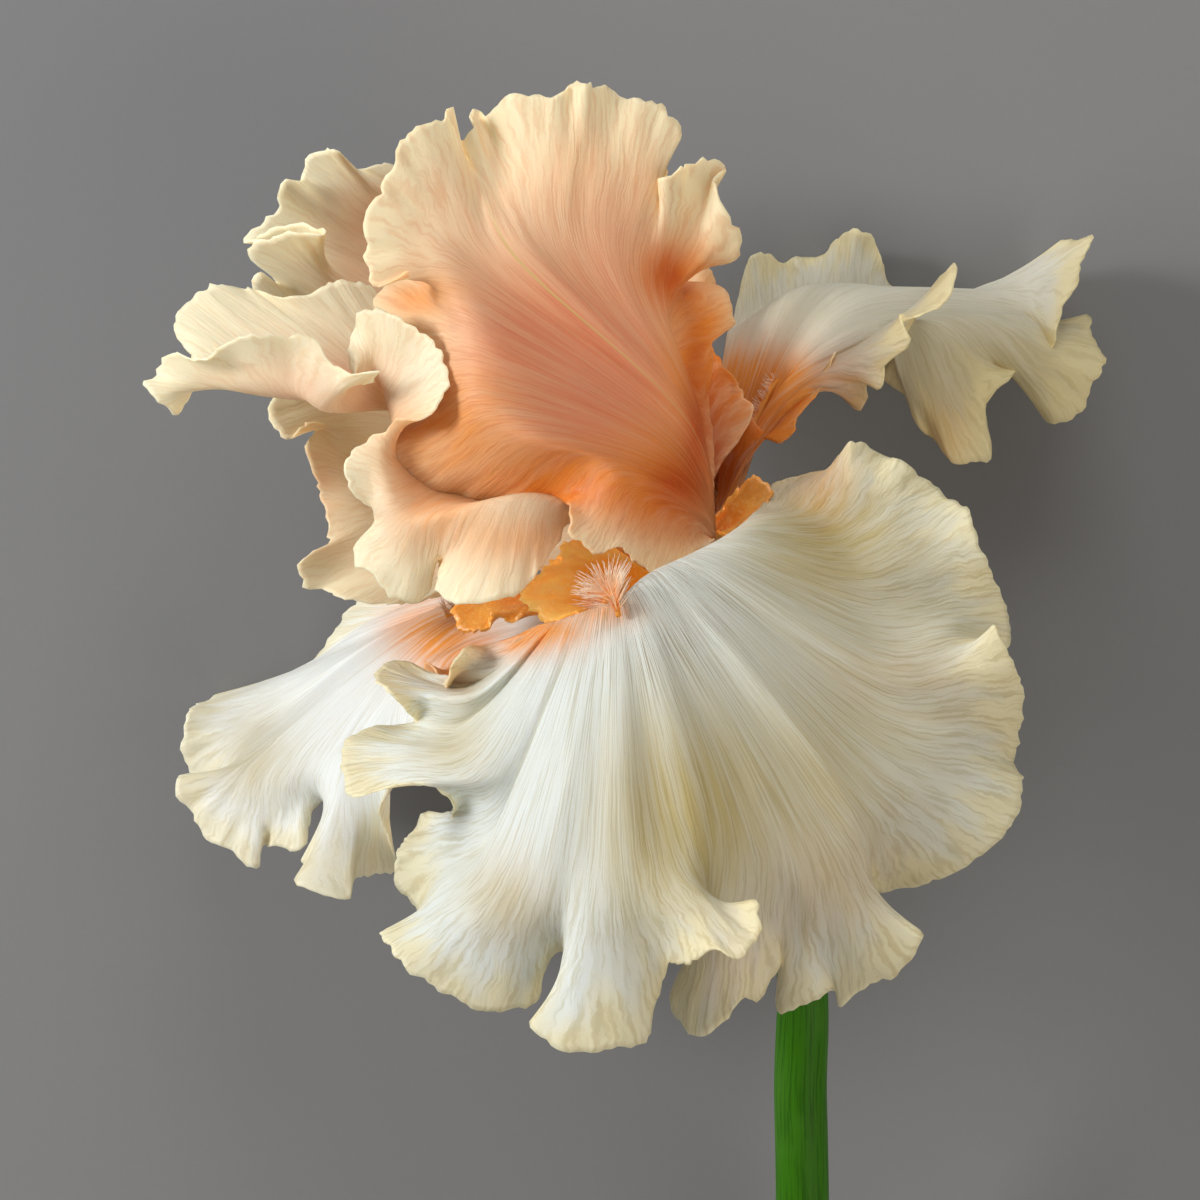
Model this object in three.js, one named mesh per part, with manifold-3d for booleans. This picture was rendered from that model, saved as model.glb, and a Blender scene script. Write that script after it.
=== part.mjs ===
// A bearded iris flower, as cut, lying on its back. Millimetres, +Z up from the surface it lies on.
// +X runs to the flower's right and +Y towards its top, as it is seen from straight above.
import * as THREE from 'three';
import * as BufferGeometryUtils from 'three/addons/utils/BufferGeometryUtils.js';
import Module from 'manifold-3d';

const wasm = await Module();
wasm.setup();

// ---------------------------------------------------------------- driving dimensions
const THROAT_HEIGHT = 62;        // from the surface up to the middle of the flower's throat
const SHIFT = { x: 8.6, y: 43.9 };  // from the throat to the middle of the whole cut flower
const EYE = { x: -15.3, y: -6.8, away: 1000, plane: 20 };  // where the flower is looked at from
const PETAL_THICKNESS = 0.7;     // at the margin
const CLAW_THICKNESS = 1;        // at the root, on the tube's rim
const CLAW_LIFT = 0.85;          // of the middle of a claw's root over the rim
const CLEARANCE = 0.3;           // between pieces that touch
const CLAW_RADIUS = 5.6;         // circle of the six claws on the tube's rim
const ARM_RADIUS = 2.9;          // circle of the three style arms inside them
const CLAW_SPREAD = 44;          // degrees of its circle that one claw takes
const WAVE_FADE = 3;             // rounds of easing that keep a margin's fine waves off the blade
const NORMAL_EASE = 2.5;         // reach of the easing of a sheet's thickness direction
const PETAL_ROWS = 7;            // rows of facets from claw to margin
const ARM_ROWS = 6;              // the same on a style arm
const ARM_THICKNESS = 0.9;       // of a style arm at its root
const STEM_RADIUS = 4.7;
const CLAW_ROWS = 3;             // rows over which a sheet thins from its root to its margin's thickness
const BRACT_ROWS = 9;            // rows of facets along a bract
const BRACT_COLUMNS = 15;        // points across a bract
const WELD = 1e-4;               // points nearer than this are one

// ---------------------------------------------------------------- the tube's rim, where all meets
const RIM_CENTRE = [-2, -9, 0];
const TUBE_UP = new THREE.Vector3(-0.356, 0.924, 0.137).normalize();
const TUBE_FRONT = new THREE.Vector3(0, 0, 1).addScaledVector(TUBE_UP, -TUBE_UP.z).normalize();
const TUBE_RIGHT = new THREE.Vector3().crossVectors(TUBE_UP, TUBE_FRONT);

// ---------------------------------------------------------------- petals
// A petal is a fan of veins. Each vein is [x, y, depth] of its end on the margin, then of its middle
// and of its shoulder where these are given; the others follow between. x and y are as seen on the
// throat's plane, and depth runs towards the eye. `necks` are rows between the claw and the shoulders,
// `claw` is the claw's azimuth on the tube's rim in degrees, and `turn` the way its veins go round.
// `rim` says how far the smooth blade reaches from the middles to the margin before the frill.

const FRONT_FALL = {
  claw: -8,
  turn: 1,
  rim: 0.6,
  necks: [
    [[-24, -12, 18], [-18, -12, 22], [-12, -10, 22], [-6, -7, 19], [0, -4, 13]],
  ],
  veins: [
    [-35.5, -14.8, 20, -30, -13, 24, -25, -11, 29], [-38.5, -15, 26], [-40.5, -18, 24],
    [-42.5, -23.5, 14, -34, -19, 22], [-46, -18.5, 10], [-50.5, -17.3, 10, -38, -21.5, 17],
    [-53.7, -20, 15], [-50.5, -22.8, 24, -37, -23, 28], [-46.5, -28, 17],
    [-49.5, -28.3, 10, -39, -28.5, 24], [-55, -28.7, 13], [-59.3, -32.5, 22, -39, -32, 35],
    [-58.7, -37, 31], [-57.3, -40.5, 36, -37.5, -36, 39.5], [-50, -38.2, 38],
    [-44, -38.3, 37, -33.5, -37, 40.5], [-40.5, -42, 32], [-41.5, -44.2, 20],
    [-45, -43, 9, -33, -41, 38.5], [-47.6, -47, 9], [-49.8, -49.5, 18, -33, -44, 37.5],
    [-50.4, -55, 15], [-46.5, -59, 19, -33.5, -47.5, 37.5], [-47, -61.5, 30],
    [-52.3, -63.2, 42, -36, -51.5, 43], [-50.5, -66.7, 46, -34, -53.5, 46.5, -17.5, -9.5, 36],
    [-47, -70.6, 48], [-41, -74, 48, -30, -55, 49.5], [-36, -76.6, 47], [-31, -76.5, 46, -26, -56, 51],
    [-26, -75.2, 44], [-25, -71, 42], [-22.5, -66.8, 41], [-20.5, -68.5, 44, -21, -56, 51.5],
    [-20.2, -74, 46], [-23.5, -78, 50], [-27.2, -78.6, 54], [-24.5, -82, 56],
    [-20, -83.5, 57, -16, -57, 53.5], [-13, -83, 56], [-8, -82, 53], [-6.3, -77, 50], [-4.5, -72, 50],
    [-3.5, -68.3, 52, -8, -54, 54, -12, -8, 38.5], [0, -68.8, 60], [4, -66.2, 65], [8.5, -67.8, 66],
    [11.6, -64, 64], [11, -58, 60, 0, -51, 52], [6, -62.5, 46], [0, -67, 38], [-3.3, -75, 38],
    [-1, -79.5, 40], [1.5, -81, 41, 6, -48.5, 47.5], [5.5, -79, 42], [8.5, -75, 42], [12, -74.3, 38],
    [16.5, -66, 34, 13, -49, 44], [15, -72, 31], [15.5, -77, 34], [20, -75.3, 36],
    [24.5, -73, 34, 19, -50, 42.5, -7, -4, 37], [25.5, -75.8, 34], [29, -73.3, 36], [35.5, -70, 38],
    [39.7, -64, 38], [35, -61, 34, 27, -46, 39.5], [30, -58, 26], [29, -57, 20], [33, -56, 18],
    [40, -55, 24, 30, -41, 38], [46, -52.5, 26], [52, -47.8, 26], [55.5, -43.5, 24, 33, -34, 34],
    [56.4, -38, 22], [55.2, -34, 18], [56.3, -28, 22, 34, -26, 30], [57, -22, 26], [54.8, -17.5, 30],
    [51.8, -11.2, 30, 34, -18, 30, 0, 0.5, 32], [54, -15, 14], [54, -9, 12, 33, -11, 24],
    [52.3, -4, 14], [49.8, 1, 16], [47.5, 8, 14, 30, -2, 22], [44.8, 9.8, 10], [41.5, 12.5, 6],
    [36, 17, 6, 26, 5, 16, 6, 4, 26], [33, 17.5, 2], [28.5, 20.3, 4], [26.5, 19.5, 4, 21, 9, 12],
    [23.5, 15.8, -4], [19, 14.5, -6, 15, 9, 6], [14, 13, -8, 12, 9, 6, 9, 6, 18],
  ],
};

const FRONT_STANDARD = {
  claw: 55,
  turn: 1,
  rim: 0.6,
  necks: [
    [[3.9, 3.5, 12], [4.1, 5, 9], [3.9, 7, 4]],
  ],
  veins: [
    [4, 3, 13, 3, 4, 13, 3.8, 4, 12.5], [-0.5, 0.5, 18], [-4.7, -2, 24, -2, 6, 21, 2, 6, 14],
    [-8, -1, 27], [-12, 2, 29], [-16, 1.2, 31, -10, 12, 28, 1, 8.5, 15], [-20, 4, 32],
    [-20.5, 8.5, 31], [-22, 10, 22, -16, 17, 28, -0.5, 11, 13.5], [-30, 9.6, 15], [-36, 9.3, 13],
    [-41, 10.3, 14, -27, 20, 31, -2, 13.5, 12.5], [-45.5, 11.2, 16], [-49, 15, 18],
    [-51.2, 19.5, 19, -34, 27, 30, -2.6, 16.5, 12], [-49, 25, 15], [-49, 32, 12],
    [-52, 38, 8, -35, 35, 28], [-53.7, 44, 8], [-49, 48.5, 10],
    [-44, 50.5, 14, -36, 42, 24, -1.6, 19.5, 11.5], [-48, 49, 22], [-53, 46.2, 24], [-55.2, 51, 22],
    [-54.8, 58, 20, -38, 50, 20], [-52, 64, 18], [-49, 71, 15], [-46, 74, 13], [-42, 75.5, 10],
    [-41.5, 77, 8], [-40.2, 76.5, 6, -32, 52, 18, 0, 22.5, 11], [-41, 70, 0],
    [-39.5, 71, 4, -29, 53, 18], [-37.2, 73.5, 6], [-37.3, 75.5, 0], [-36, 76.3, -2], [-34.5, 75.5, 2],
    [-31, 79, 6, -25, 54, 16], [-26, 78.5, 8], [-22.5, 79, 8.5], [-20, 81, 6],
    [-17.8, 81.2, 9, -18, 54, 14], [-16.5, 80.6, 6.5], [-13.5, 80.3, 5],
    [-10.5, 78.2, 6, -13, 52, 13, 1.1, 24, 9.5], [-6, 78.2, 6], [-3.5, 76, 6],
    [-1.2, 72, 6, -9, 50, 11], [-3.8, 68.7, 5], [-3.6, 66.6, 5], [-4.8, 65.4, 6, -7, 48, 10],
    [-5, 64.9, 8], [-3.8, 65.2, 10], [-2, 66.4, 9], [0, 67.5, 6, -4.5, 46, 8, 1.9, 24, 8.5],
    [4, 68.2, 4], [6, 66.2, 2], [4.2, 64.5, 6], [6, 60, 8], [8.8, 54.5, 6, -3.6, 43.5, 6.5],
    [7.3, 51, 4], [3, 52.5, 2], [-4, 52.5, -3], [-3, 48, -9, -4, 40, 6, 2.4, 21, 7], [5.2, 46.3, -10],
    [7.1, 42.5, -10], [7.2, 39.8, -12, -3.2, 35, 4.5], [4, 37.5, -10], [3.8, 33, -10],
    [3.2, 26, -8, 0, 26, 2.5, 3.2, 14.5, 4.5], [3.8, 16, -2], [4, 9, 2, 3.8, 10, 1, 3.9, 8, 2.5],
  ],
};

const LEFT_STANDARD = {
  claw: -66,
  turn: -1,
  rim: 0.6,
  necks: [
    [[-9, 0, 8], [-11, 1, 6], [-13, 3, 3], [-11, 4, -1], [-8, 2, -3]],
  ],
  veins: [
    [-20.5, 8, 18, -18, 9, 21, -13, 4, 11], [-22.5, 3, 24], [-25, -0.5, 27],
    [-28.5, -5.5, 30, -26, 10.2, 25, -17, 6, 12], [-33, -7, 32], [-38, -7.3, 32], [-42, -6.5, 30],
    [-43.5, -4.5, 28, -36, 9, 27, -24, 8, 12], [-42.8, 0, 22], [-44.5, -5.5, 24],
    [-48, -7.2, 26, -44, 7, 27, -30, 9, 12], [-51.5, -5.5, 26], [-54, -2.5, 26], [-57, -0.5, 24],
    [-55.5, 4, 22, -49, 8, 26, -36, 12, 10], [-53, 7.5, 22], [-57, 11, 24],
    [-59, 15, 24, -51, 13, 24, -39, 15, 8], [-57.5, 18.5, 22], [-54, 21, 22],
    [-49.5, 24, 26, -50, 19, 19, -42, 18, 7], [-45, 24.5, 28], [-41.8, 28, 28], [-40.9, 32, 26],
    [-43, 36, 24, -51, 26, 17, -43, 21, 5], [-47, 39.5, 22], [-51, 42.3, 20],
    [-56, 42.5, 16, -54, 31, 14], [-57.5, 37, 14], [-57.8, 32.5, 16], [-55, 30, 22, -60, 26, 20],
    [-52.7, 32.5, 26], [-58, 31.5, 24], [-61, 34, 20], [-65, 38, 18],
    [-70, 38, 20, -67, 28, 20, -40, 24, 1], [-74, 38.5, 22], [-78.5, 37, 22], [-82, 34, 22],
    [-85, 34, 18], [-89, 35.5, 14], [-91, 31, 12], [-92.5, 29.3, 14, -76, 29, 14, -34, 22, 0],
    [-90, 26.7, 16], [-86.5, 25.3, 12], [-84, 33, 2], [-87.2, 38.5, -4], [-86, 43, -6, -72, 33, 2],
    [-83, 46, -6, -66, 34, 0, -27, 17, -2], [-81, 47, -6], [-75, 46, -8, -58, 33, -2, -23, 14, -3],
    [-69.5, 44.8, -6], [-63, 46, -8], [-58, 47.5, -10], [-53.5, 46, -12, -40, 26, -6, -15, 10, -4],
  ],
};

const BACK_STANDARD = {
  claw: 180,
  turn: -1,
  rim: 0.6,
  necks: [
    [[-7, -1, -8], [-2, 2, -11], [3, 3, -8]],
  ],
  veins: [
    [-42, -6, -8, -30, -2, -6, -14, -2, -6], [-47, -7.3, -6], [-53, -7.5, -4],
    [-59, -6.8, -4, -42, 2, -10, -16, 0, -8], [-62.5, -5, -8], [-65, -4.8, -8], [-67, -1.5, -6],
    [-65.5, 0.5, -6], [-61.5, 3, -10, -46, 8, -16, -18, 4, -10], [-62.5, 10, -14], [-64.5, 15, -12],
    [-65, 20, -10], [-62.5, 23, -14, -48, 18, -22, -20, 8, -12], [-66, 23, -10], [-68.5, 20.5, -8],
    [-71.5, 25, -10], [-70, 35, -16, -49, 28, -26, -20, 12, -14], [-74.5, 45, -14], [-73, 49, -12],
    [-70, 47, -16], [-75, 52.5, -14], [-69, 55.3, -8], [-62, 55.5, -6, -52, 42, -24, -20, 16, -16],
    [-68, 57, -14], [-75.8, 54, -18], [-72.5, 57.5, -20], [-70.3, 60, -20],
    [-69, 64.5, -16, -49, 50, -28], [-66, 64.5, -22], [-65.5, 67, -22], [-63, 69.3, -20],
    [-60, 69.8, -16, -45, 55, -28, -19, 20, -18], [-58, 66, -26], [-53, 67.5, -26], [-48, 67, -28],
    [-42, 70, -26, -36, 55, -30], [-34, 72, -28], [-26, 71, -26, -24, 52, -30, -12, 22, -20],
    [-18, 70, -28], [-10, 66, -26, -12, 46, -28], [-3, 60, -28],
    [2, 54, -24, -3, 38, -24, -4, 20, -18], [4, 47, -26], [3, 40, -22], [5.5, 33, -13, 2, 28, -14.5],
    [8.8, 29, -9.5], [10.4, 26, -7.5], [9, 21.8, -6.5, 4, 17.5, -9, -0.5, 9.5, -11.5],
    [6.4, 17.8, -6.5], [3.9, 14.6, -7, 2, 9.5, -8.5, -1, 3, -9.5],
  ],
};

const RIGHT_FALL = {
  claw: 117,
  turn: 1,
  rim: 0.6,
  necks: [
    [[3, 3, -6], [5, 5, -9], [7, 8, -13], [5, 8, -18], [2, 6, -16]],
  ],
  veins: [
    [6, 22, -17, 5, 15, -15.5, 4.5, 8.5, -12], [8.8, 25.5, -16], [11.4, 22.6, -13.5],
    [15.3, 19.7, -10], [17.5, 21.5, -9], [18.5, 25, -11, 13, 21, -12.5, 7.5, 13, -13], [21.5, 28, -14],
    [24.5, 34, -15], [25, 35, -19, 17, 26, -12, 9.5, 17, -13], [26, 31, -20], [28.3, 25.6, -18],
    [30.5, 28, -17], [29, 33, -19, 20, 29.5, -13, 11.5, 20.5, -14], [31, 29.5, -13], [32.7, 29, -11],
    [33.3, 33, -11], [37.3, 36.5, -9, 24.5, 33, -14.5], [37, 39.5, -9], [35.7, 42, -12],
    [38.3, 41.2, -9], [41, 42.5, -8, 29.5, 37, -16, 14, 27, -17.5], [43, 43.5, -8], [45.5, 48, -11],
    [44.8, 50.3, -15], [40, 45, -24, 32, 39, -16], [37, 38, -27], [33.2, 31.5, -27], [36.5, 27.5, -27],
    [38.5, 22.8, -25, 33, 39.5, -22, 18, 32.5, -21], [41.3, 20.5, -26], [44.5, 16.5, -23],
    [48, 16.6, -25], [51.3, 18, -27], [50, 26, -31, 40, 40, -26], [55, 31.5, -34], [56, 32.5, -44],
    [59, 28, -44], [60.5, 24, -40], [63, 23, -38], [66.5, 25.3, -38],
    [68.5, 30, -38, 49, 41.5, -34, 22.5, 37, -23], [70.5, 34, -40], [68.3, 38, -46], [67.8, 41.3, -50],
    [65, 40.5, -49], [62.5, 38, -44, 54, 42.5, -40, 26, 41, -27], [61.8, 36, -39], [62, 38, -37],
    [63.2, 42, -38], [65.3, 46.5, -40], [66.5, 50.5, -42, 53, 46.2, -43], [68.7, 54.8, -44],
    [66, 54, -50], [63.3, 54.2, -52], [61.4, 52, -56], [56, 46, -62.4, 43, 44.5, -50, 24, 45, -33],
    [48, 43, -63], [40, 42, -62.6], [33, 46, -60], [32.7, 50, -54], [31.5, 54, -54], [28.5, 56.3, -52],
    [25.5, 55, -57, 24, 42.5, -50, 16.5, 45, -32], [22, 51.8, -62.6], [18, 51.3, -61],
    [15.5, 50.2, -62.4], [13, 52.2, -54], [10.5, 52.2, -52], [9.2, 49, -50],
    [8, 43.8, -46, 7, 39.5, -42, 6, 36.5, -31],
  ],
};

const LEFT_FALL = {
  claw: -120,
  turn: -1,
  rim: 0.6,
  necks: [
    [[-11, -11.5, 0.5], [-14, -10.5, -3], [-16, -8.5, -8], [-14, -6, -12], [-10, -5.5, -12]],
  ],
  veins: [
    [-36.5, -18.5, 0.5, -32, -17, -0.5, -20, -13, -1], [-39, -21.5, 2.5], [-42, -21.5, 4],
    [-45, -17, 0], [-46, -22, -1, -40, -16, -4, -25, -11.5, -4], [-47, -29, 0], [-48.5, -31, -3],
    [-49, -33, -6], [-50, -33, -10, -46, -20, -8, -31, -11.5, -7], [-50, -38, -6], [-53, -42.5, -4],
    [-51.5, -47, -10, -51, -26, -10], [-50, -52.5, -12], [-53, -53.5, -12],
    [-56, -53.8, -8, -55, -31, -12, -36, -11.5, -10], [-57.5, -54.5, -4], [-58, -57.8, -2],
    [-62.5, -56.8, -2], [-67, -54.5, -4], [-65, -52.5, -8],
    [-66, -51, -10, -60, -34, -15, -40, -11, -14], [-62, -49, -16], [-60.5, -42.5, -24],
    [-62.5, -41, -26], [-64.5, -44, -22, -64, -35, -18], [-66, -49.3, -18], [-70, -49, -22],
    [-72.5, -48.5, -26, -69, -35, -21], [-74, -52.5, -22], [-79, -48.7, -24],
    [-83, -46.5, -26, -73, -33.5, -25, -42, -10, -18], [-85, -42.5, -28], [-87.5, -38.5, -28],
    [-84.5, -36.6, -31, -70, -29.5, -27], [-77, -39.5, -38], [-83.5, -39, -44, -70, -26.5, -39],
    [-86.2, -31.5, -45, -70.5, -24.5, -41, -41, -7.5, -23], [-85, -25.5, -46],
    [-83, -24.5, -54, -65, -19, -41], [-80, -22.7, -62.3],
    [-74, -22.5, -63, -54, -12.8, -37, -33, -6, -21], [-67.3, -20.8, -60],
    [-61.8, -14, -52, -46, -7, -31], [-58, -8.3, -47], [-51, -4.8, -41, -33, -4, -24, -23, -4, -17],
    [-36, -3, -30], [-27, -2, -22, -22, -3, -17, -17, -3.5, -14],
  ],
};

const FRONT_ARM = {
  claw: -8,
  turn: 1,
  rim: 0.6,
  necks: [
    [[-8, -9, 8], [-8, -6, 10], [-5, -5, 9]],
  ],
  veins: [
    [-19, -9, 25, -17, -8.3, 19, -13, -8.5, 13], [-21, -9.8, 26], [-23.2, -10.5, 26, -20, -8, 20],
    [-26, -8.4, 25], [-29, -6, 25, -23, -6, 20, -15, -7, 15], [-27.5, -4.4, 25], [-25.5, -2.4, 23],
    [-24.3, -0.7, 22, -20, -1.5, 18, -13, -4.5, 14], [-22, 0, 20], [-21.5, 2, 16, -18, 0, 14],
    [-19, 3, 12], [-16, 3, 9, -13, 0.5, 11, -9, -2, 10], [-13, 2, 7], [-10, 0, 6, -8, -1.5, 8, -6, -3, 8],
  ],
};

const LEFT_ARM = {
  claw: -120,
  turn: -1,
  rim: 0.6,
  necks: [
    [[-10, -9, 3], [-12, -7, 0], [-10, -4.5, -4]],
  ],
  veins: [
    [-28, -9.5, 9, -24, -8.5, 6, -16, -8, 4], [-31, -10.2, 9], [-33.5, -9.3, 9, -28, -8, 6],
    [-34.8, -11.6, 8], [-38, -12, 7, -31, -8, 4, -19, -7, 1], [-39.5, -10.8, 5], [-40.3, -7, 2],
    [-39, -5, 0, -31, -5, 0, -19, -5, -2], [-36, -3.5, -2], [-31, -3, -4, -25, -3, -4, -16, -3.5, -4],
    [-26, -3, -6], [-22, -3, -7, -18, -3.5, -6, -13, -4, -6],
  ],
};

const RIGHT_ARM = {
  claw: 117,
  turn: 1,
  rim: 0.6,
  necks: [
    [[0.5, -1, 4], [2.2, -0.5, 1], [1.6, 0.8, -2.5]],
  ],
  veins: [
    [3.6, 4.4, 6, 2.8, 2.5, 5, 1.6, 0.8, 4], [6, 4.2, 6.5], [9, 5.6, 6, 6, 4.5, 4], [12, 8, 5],
    [13.8, 11, 3.5, 9, 7, 2.5, 4.6, 3.5, 1], [13.2, 13.2, 2.5], [11, 14, 1.5, 8, 9.5, 1], [9, 12.8, 1],
    [6.5, 10.5, 0, 5, 7, -1, 3, 4.2, -1.5], [5, 8.2, 0], [4, 6, -1, 3, 4.5, -1.5, 1.8, 2.5, -2.5],
  ],
};

// A bract: its axis, then its radius and half its wrap in degrees at shares of its length.
const OUTER_BRACT = {
  axis: [[17.8, -64, -14], [13, -50, -8.6], [7, -36, -4.2], [3, -26, -2.6]],
  radii: [[0, 5.2], [0.12, 6.4], [0.4, 8.3], [0.75, 9], [1, 9.4]],
  wraps: [[0, 150], [0.5, 120], [0.8, 62], [1, 6]],
  facing: 90,
};
const INNER_BRACT = {
  axis: [[16.4, -60, -12], [12, -48, -7.6], [6.6, -34, -3.8], [1.5, -21, -1.6]],
  radii: [[0, 5], [0.3, 6.3], [0.7, 6.9], [1, 7.3]],
  wraps: [[0, 110], [0.5, 95], [0.8, 50], [1, 6]],
  facing: 270,
};

// ---------------------------------------------------------------- surfaces
/** A point seen at (x, y) on the throat's plane, `depth` nearer the eye than the throat. */
function seen([x, y, depth]) {
  const k = (EYE.away - (depth - EYE.plane)) / EYE.away;
  return new THREE.Vector3(
    EYE.x + (x - EYE.x) * k + SHIFT.x,
    EYE.y + (y - EYE.y) * k + SHIFT.y,
    depth + THROAT_HEIGHT,
  );
}

/** A point on a circle round the tube's rim: azimuth in degrees, `lift` along the tube. */
function onRim(radius, azimuth, lift = 0) {
  const a = THREE.MathUtils.degToRad(azimuth);
  return new THREE.Vector3(SHIFT.x, SHIFT.y, THROAT_HEIGHT)
    .add(new THREE.Vector3(...RIM_CENTRE))
    .addScaledVector(TUBE_FRONT, radius * Math.cos(a))
    .addScaledVector(TUBE_RIGHT, radius * Math.sin(a))
    .addScaledVector(TUBE_UP, lift);
}

/** Slopes of a smooth curve through `points` at uneven `stations`. */
function slopes(points, stations) {
  const last = points.length - 1;
  const chord = [];
  for (let i = 0; i < last; i += 1) {
    chord.push(points[i + 1].clone().sub(points[i]).divideScalar(stations[i + 1] - stations[i]));
  }
  const slope = points.map(() => new THREE.Vector3());
  for (let i = 1; i < last; i += 1) {
    const before = stations[i] - stations[i - 1];
    const after = stations[i + 1] - stations[i];
    slope[i].addScaledVector(chord[i - 1], after / (before + after));
    slope[i].addScaledVector(chord[i], before / (before + after));
  }
  slope[0].copy(chord[0]).multiplyScalar(1.5).addScaledVector(slope[1], -0.5);
  slope[last].copy(chord[last - 1]).multiplyScalar(1.5).addScaledVector(slope[last - 1], -0.5);
  return slope;
}

/** The smooth curve through `points` at `stations`, taken at the values `at`. */
function along(points, stations, at) {
  const last = points.length - 1;
  if (last === 1) {
    return at.map((s) => points[0].clone().lerp(points[1], (s - stations[0]) / (stations[1] - stations[0])));
  }
  const slope = slopes(points, stations);
  return at.map((s) => {
    let i = 0;
    while (i < last - 1 && stations[i + 1] <= s) i += 1;
    const step = stations[i + 1] - stations[i];
    const t = (s - stations[i]) / step;
    return new THREE.Vector3()
      .addScaledVector(points[i], (1 + 2 * t) * (1 - t) ** 2)
      .addScaledVector(slope[i], t * (1 - t) ** 2 * step)
      .addScaledVector(points[i + 1], t * t * (3 - 2 * t))
      .addScaledVector(slope[i + 1], t * t * (t - 1) * step);
  });
}

/** Even numbers from `from` to `to`. */
function even(from, to, count) {
  return Array.from({ length: count }, (_, i) => from + (to - from) * (i / (count - 1)));
}

/** A row with its fine waves evened out and its ends left where they are. */
function softened(row) {
  let gentle = row;
  for (let k = 0; k < WAVE_FADE; k += 1) {
    gentle = gentle.map((point, i) => {
      if (i === 0 || i === gentle.length - 1) return point;
      return gentle[i - 1].clone().add(gentle[i + 1]).addScaledVector(point, 2).divideScalar(4);
    });
  }
  return gentle;
}

/** The petal's rows from claw to margin, each with one point to a vein. */
function veinRows(petal, radius) {
  const { veins, necks, claw, turn } = petal;
  const station = veins.map((_, i) => i);
  const spread = (points) => along(points, even(0, veins.length - 1, points.length), station);
  const level = (k) => {
    const given = station.filter((i) => veins[i].length >= 3 * k + 3);
    return along(given.map((i) => seen(veins[i].slice(3 * k, 3 * k + 3))), given, station);
  };
  const root = even(-0.5, 0.5, 3).map((f) => onRim(radius, claw + turn * CLAW_SPREAD * f, CLAW_LIFT));
  const edge = level(0);
  const middle = level(1);
  const gentle = softened(edge);
  const frill = middle.map((point, i) => point.clone().lerp(gentle[i], petal.rim));
  return [spread(root), ...necks.map((row) => spread(row.map(seen))), level(2), middle, frill, edge];
}

/** The petal's middle surface as rows of points, flat where it rests on the surface below. */
function petalGrid(petal, radius = CLAW_RADIUS, count = PETAL_ROWS) {
  const rows = veinRows(petal, radius);
  const knots = [0];
  for (let k = 1; k < rows.length; k += 1) {
    const chord = rows[k].reduce((sum, point, i) => sum + point.distanceTo(rows[k - 1][i]), 0);
    knots.push(knots[k - 1] + Math.sqrt(chord / rows[k].length));
  }
  const at = even(0, knots[knots.length - 1], count);
  const columns = petal.veins.map((_, i) => along(rows.map((row) => row[i]), knots, at));
  return at.map((_, j) => columns.map((column) => {
    const point = column[j];
    point.z = Math.max(point.z, PETAL_THICKNESS / 2);
    return point;
  }));
}

/** Unit directions across the sheet at a grid's points, eased so that its two faces keep apart. */
function gridNormals(grid) {
  const across = (j, i) => {
    const row = grid[j];
    return row[Math.min(i + 1, row.length - 1)].clone().sub(row[Math.max(i - 1, 0)]);
  };
  const down = (j, i) => grid[Math.min(j + 1, grid.length - 1)][i].clone().sub(grid[Math.max(j - 1, 0)][i]);
  return grid.map((row, j) => {
    const sharp = row.map((_, i) => across(j, i).cross(down(j, i)).normalize());
    return row.map((point) => {
      const eased = new THREE.Vector3();
      row.forEach((other, i) => {
        eased.addScaledVector(sharp[i], Math.exp(-point.distanceToSquared(other) / NORMAL_EASE ** 2));
      });
      return eased.normalize();
    });
  });
}

/** A closed sheet round a grid: its thickness runs from `root` to `margin`, with `grow` all round. */
function sheetGeometry(grid, root, margin, grow) {
  const normals = gridNormals(grid);
  const rows = grid.length;
  const columns = grid[0].length;
  const last = rows - 1;
  const positions = [];
  for (const side of [1, -1]) {
    grid.forEach((row, j) => row.forEach((point, i) => {
      const half = THREE.MathUtils.lerp(root, margin, Math.min(1, j / CLAW_ROWS)) / 2 + grow;
      const face = point.clone().addScaledVector(normals[j][i], side * half);
      if (j === last) face.addScaledVector(point.clone().sub(grid[j - 1][i]).normalize(), grow);
      if (i === 0) face.addScaledVector(point.clone().sub(row[1]).normalize(), grow);
      if (i === columns - 1) face.addScaledVector(point.clone().sub(row[i - 1]).normalize(), grow);
      if (grow === 0) face.z = Math.max(face.z, 0);
      positions.push(face.x, face.y, face.z);
    }));
  }
  const index = [];
  const under = rows * columns;
  const wall = (a, b) => index.push(b, a, under + a, b, under + a, under + b);
  for (let j = 0; j < last; j += 1) {
    for (let i = 0; i < columns - 1; i += 1) {
      const a = j * columns + i;
      const b = a + columns;
      index.push(a, a + 1, b, a + 1, b + 1, b);
      index.push(under + a, under + b, under + a + 1, under + a + 1, under + b, under + b + 1);
    }
    wall((j + 1) * columns, j * columns);
    wall(j * columns + columns - 1, (j + 1) * columns + columns - 1);
  }
  for (let i = 0; i < columns - 1; i += 1) {
    wall(i, i + 1);
    wall(last * columns + i + 1, last * columns + i);
  }
  return closed(positions, index);
}

/** An indexed geometry from flat lists. */
function closed(positions, index) {
  const geometry = new THREE.BufferGeometry();
  geometry.setAttribute('position', new THREE.Float32BufferAttribute(positions, 3));
  geometry.setIndex(index);
  return geometry;
}

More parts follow.
